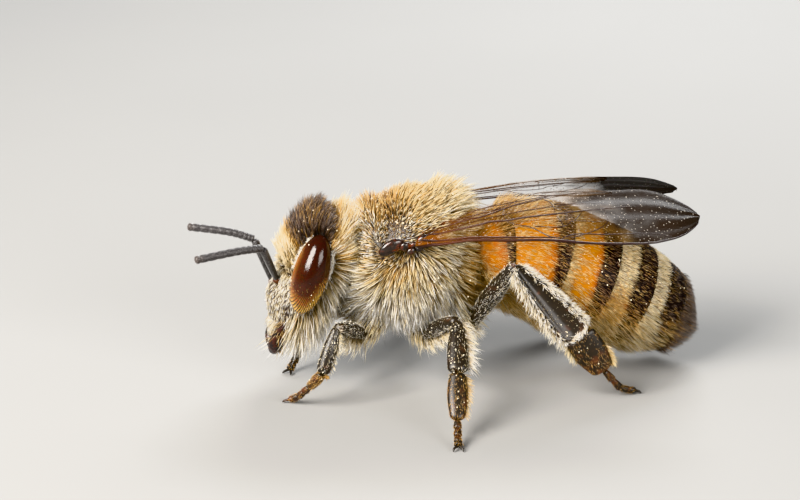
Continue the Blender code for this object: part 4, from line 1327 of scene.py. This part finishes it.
def fringe_chance(points, normals, height, around):
    """Hair along the one edge that faces the fringe's side."""
    return step(0.80, 0.97, normals @ unit(np.array(towards, float)))


def rim_chance(points, normals, height, around):
    """Hair on both rims of the pollen basket."""
    return step(0.50, 0.80, np.abs(np.cos(around * 2 * math.pi))) * (normals[..., 1] * sign > 0.0)


def end_chance(points, normals, height, around):
    """Hair round the far end of the pollen basket."""
    return step(0.86, 0.93, height) * (normals[..., 1] * sign > -0.2)


def hair_rows(skin, hairs, chance, rise, droop, loose, reach, width, pale, outward):
    """Everything that the strands of one patch of leg hair need."""
    spots, normals, shares, toward_foot = scatter(skin, hairs, chance, rng)
    lies = flat_to(toward_foot, normals)
    starts, ends = bent(normals, lies, rise, droop, loose, loose * 1.3, rng)
    return (spots, unit(starts + outward), unit(ends + outward * 0.4),
            reach * rng.uniform(0.45, 1.25, hairs), np.full(hairs, width),
            pale + rng.normal(0, 0.06, hairs), shares)


rng = np.random.default_rng(14)
short = {"left": [], "right": []}
fringe = {"left": [], "right": []}
for (pair, joint, label), skin in leg_skins.items():
    sign = LEFT if label == "left" else RIGHT
    hairs, reach, pale = LEG_HAIRS[joint]
    if joint == "femur" and pair != "hindleg":
        hairs = 560
    short[label].append(hair_rows(skin[2:-2], hairs, leg_chance, 0.42, 0.12, 0.10, reach,
                                  0.020 if joint == "coxa" else 0.015, pale, np.zeros(3)))
    outward = np.array([0, sign, 0]) * (0.5 if joint == "tibia" else 0.1)
    for which, where_on, towards, hairs, reach, pale in LEG_FRINGES:
        if (which, where_on) == (pair, joint):
            fringe[label].append(hair_rows(skin[2:-2], hairs, fringe_chance, 0.75, 0.40, 0.20,
                                           reach, 0.022, pale, outward))
    if (pair, joint) == ("hindleg", "tibia"):
        fringe[label].append(hair_rows(skin, 200, end_chance, 0.55, 0.25, 0.25, 0.26, 0.026,
                                       0.05, outward))
        fringe[label].append(hair_rows(skin[2:-2], 560, rim_chance, 0.60, 0.10, 0.35, 0.23, 0.021,
                                       0.05, outward))
for label, skin in foot_skins:
    short[label].append(hair_rows(skin[1:-1], 70, evenly, 0.5, 0.2, 0.12, 0.11, 0.013, 0.45,
                                  np.zeros(3)))
for _, label in SIDES:
    for title, groups, joints in (("leg_coat_", short, 2), ("leg_fringe_", fringe, 3)):
        *rows, shares = (np.concatenate(part) for part in zip(*groups[label]))
        strands(title + label, leg_hair, "leg", *rows, shares, rng, joints, every=4, pull=0.06)

# ---------------------------------------------------------------- pollen
# Loose pollen caught in the hair and stuck to the bare skin: tiny pale yellow balls, each one
# resting on a hair or sunk halfway into the shell.

# waxy grains: dull, cream to pale yellow
pollen_wax = mottled("pale_yellow_pollen", 0.6, 1.45, 0.3, 2.0,
                     ((0.0, "#fffdf2"), (1.0, "#f3e2ae")))

rng = np.random.default_rng(16)
grain_points, grain_faces = dome((1, 1, 1), UPRIGHT, (0, 0, 0), 6, 5)


def grains(name, spots, slot, small=0.013, large=0.030):
    """Pollen balls at the given spots."""
    sizes = rng.uniform(small, large, len(spots))
    shapes = [(spot + grain_points * size, grain_faces) for spot, size in zip(spots, sizes)]
    build(name, *joined(shapes), pollen_wax, slot)


def some(paths, count):
    """A few spots on hairs, at the last joint before the tip."""
    return paths[rng.choice(len(paths), count, replace=False), -2]


grains("pollen_on_head", some(head_paths, 110), "head_hair")
grains("pollen_on_thorax", some(thorax_paths, 380), "thorax_hair")
for side, label in SIDES:
    grains("pollen_on_eye_" + label, scatter(eye_skins[side], 14, evenly, rng)[0], "eye",
           0.012, 0.022)
    spots = [scatter(skin[2:-2], 12 if joint == "basitarsus" else 30, evenly, rng)[0]
             for (_, joint, leg), skin in leg_skins.items() if leg == label]
    grains("pollen_on_legs_" + label, np.concatenate(spots), "leg", 0.011, 0.023)
for number, skin in enumerate(ring_skins):
    grains(f"pollen_on_abdomen_{number + 1}", scatter(skin, 40, evenly, rng)[0],
           RING_SLOTS[number], 0.012, 0.024)

# ---------------------------------------------------------------- sizes
size = {"cad": [list(corner) for corner in cad_box],
        "visual": [list(corner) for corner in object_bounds()]}
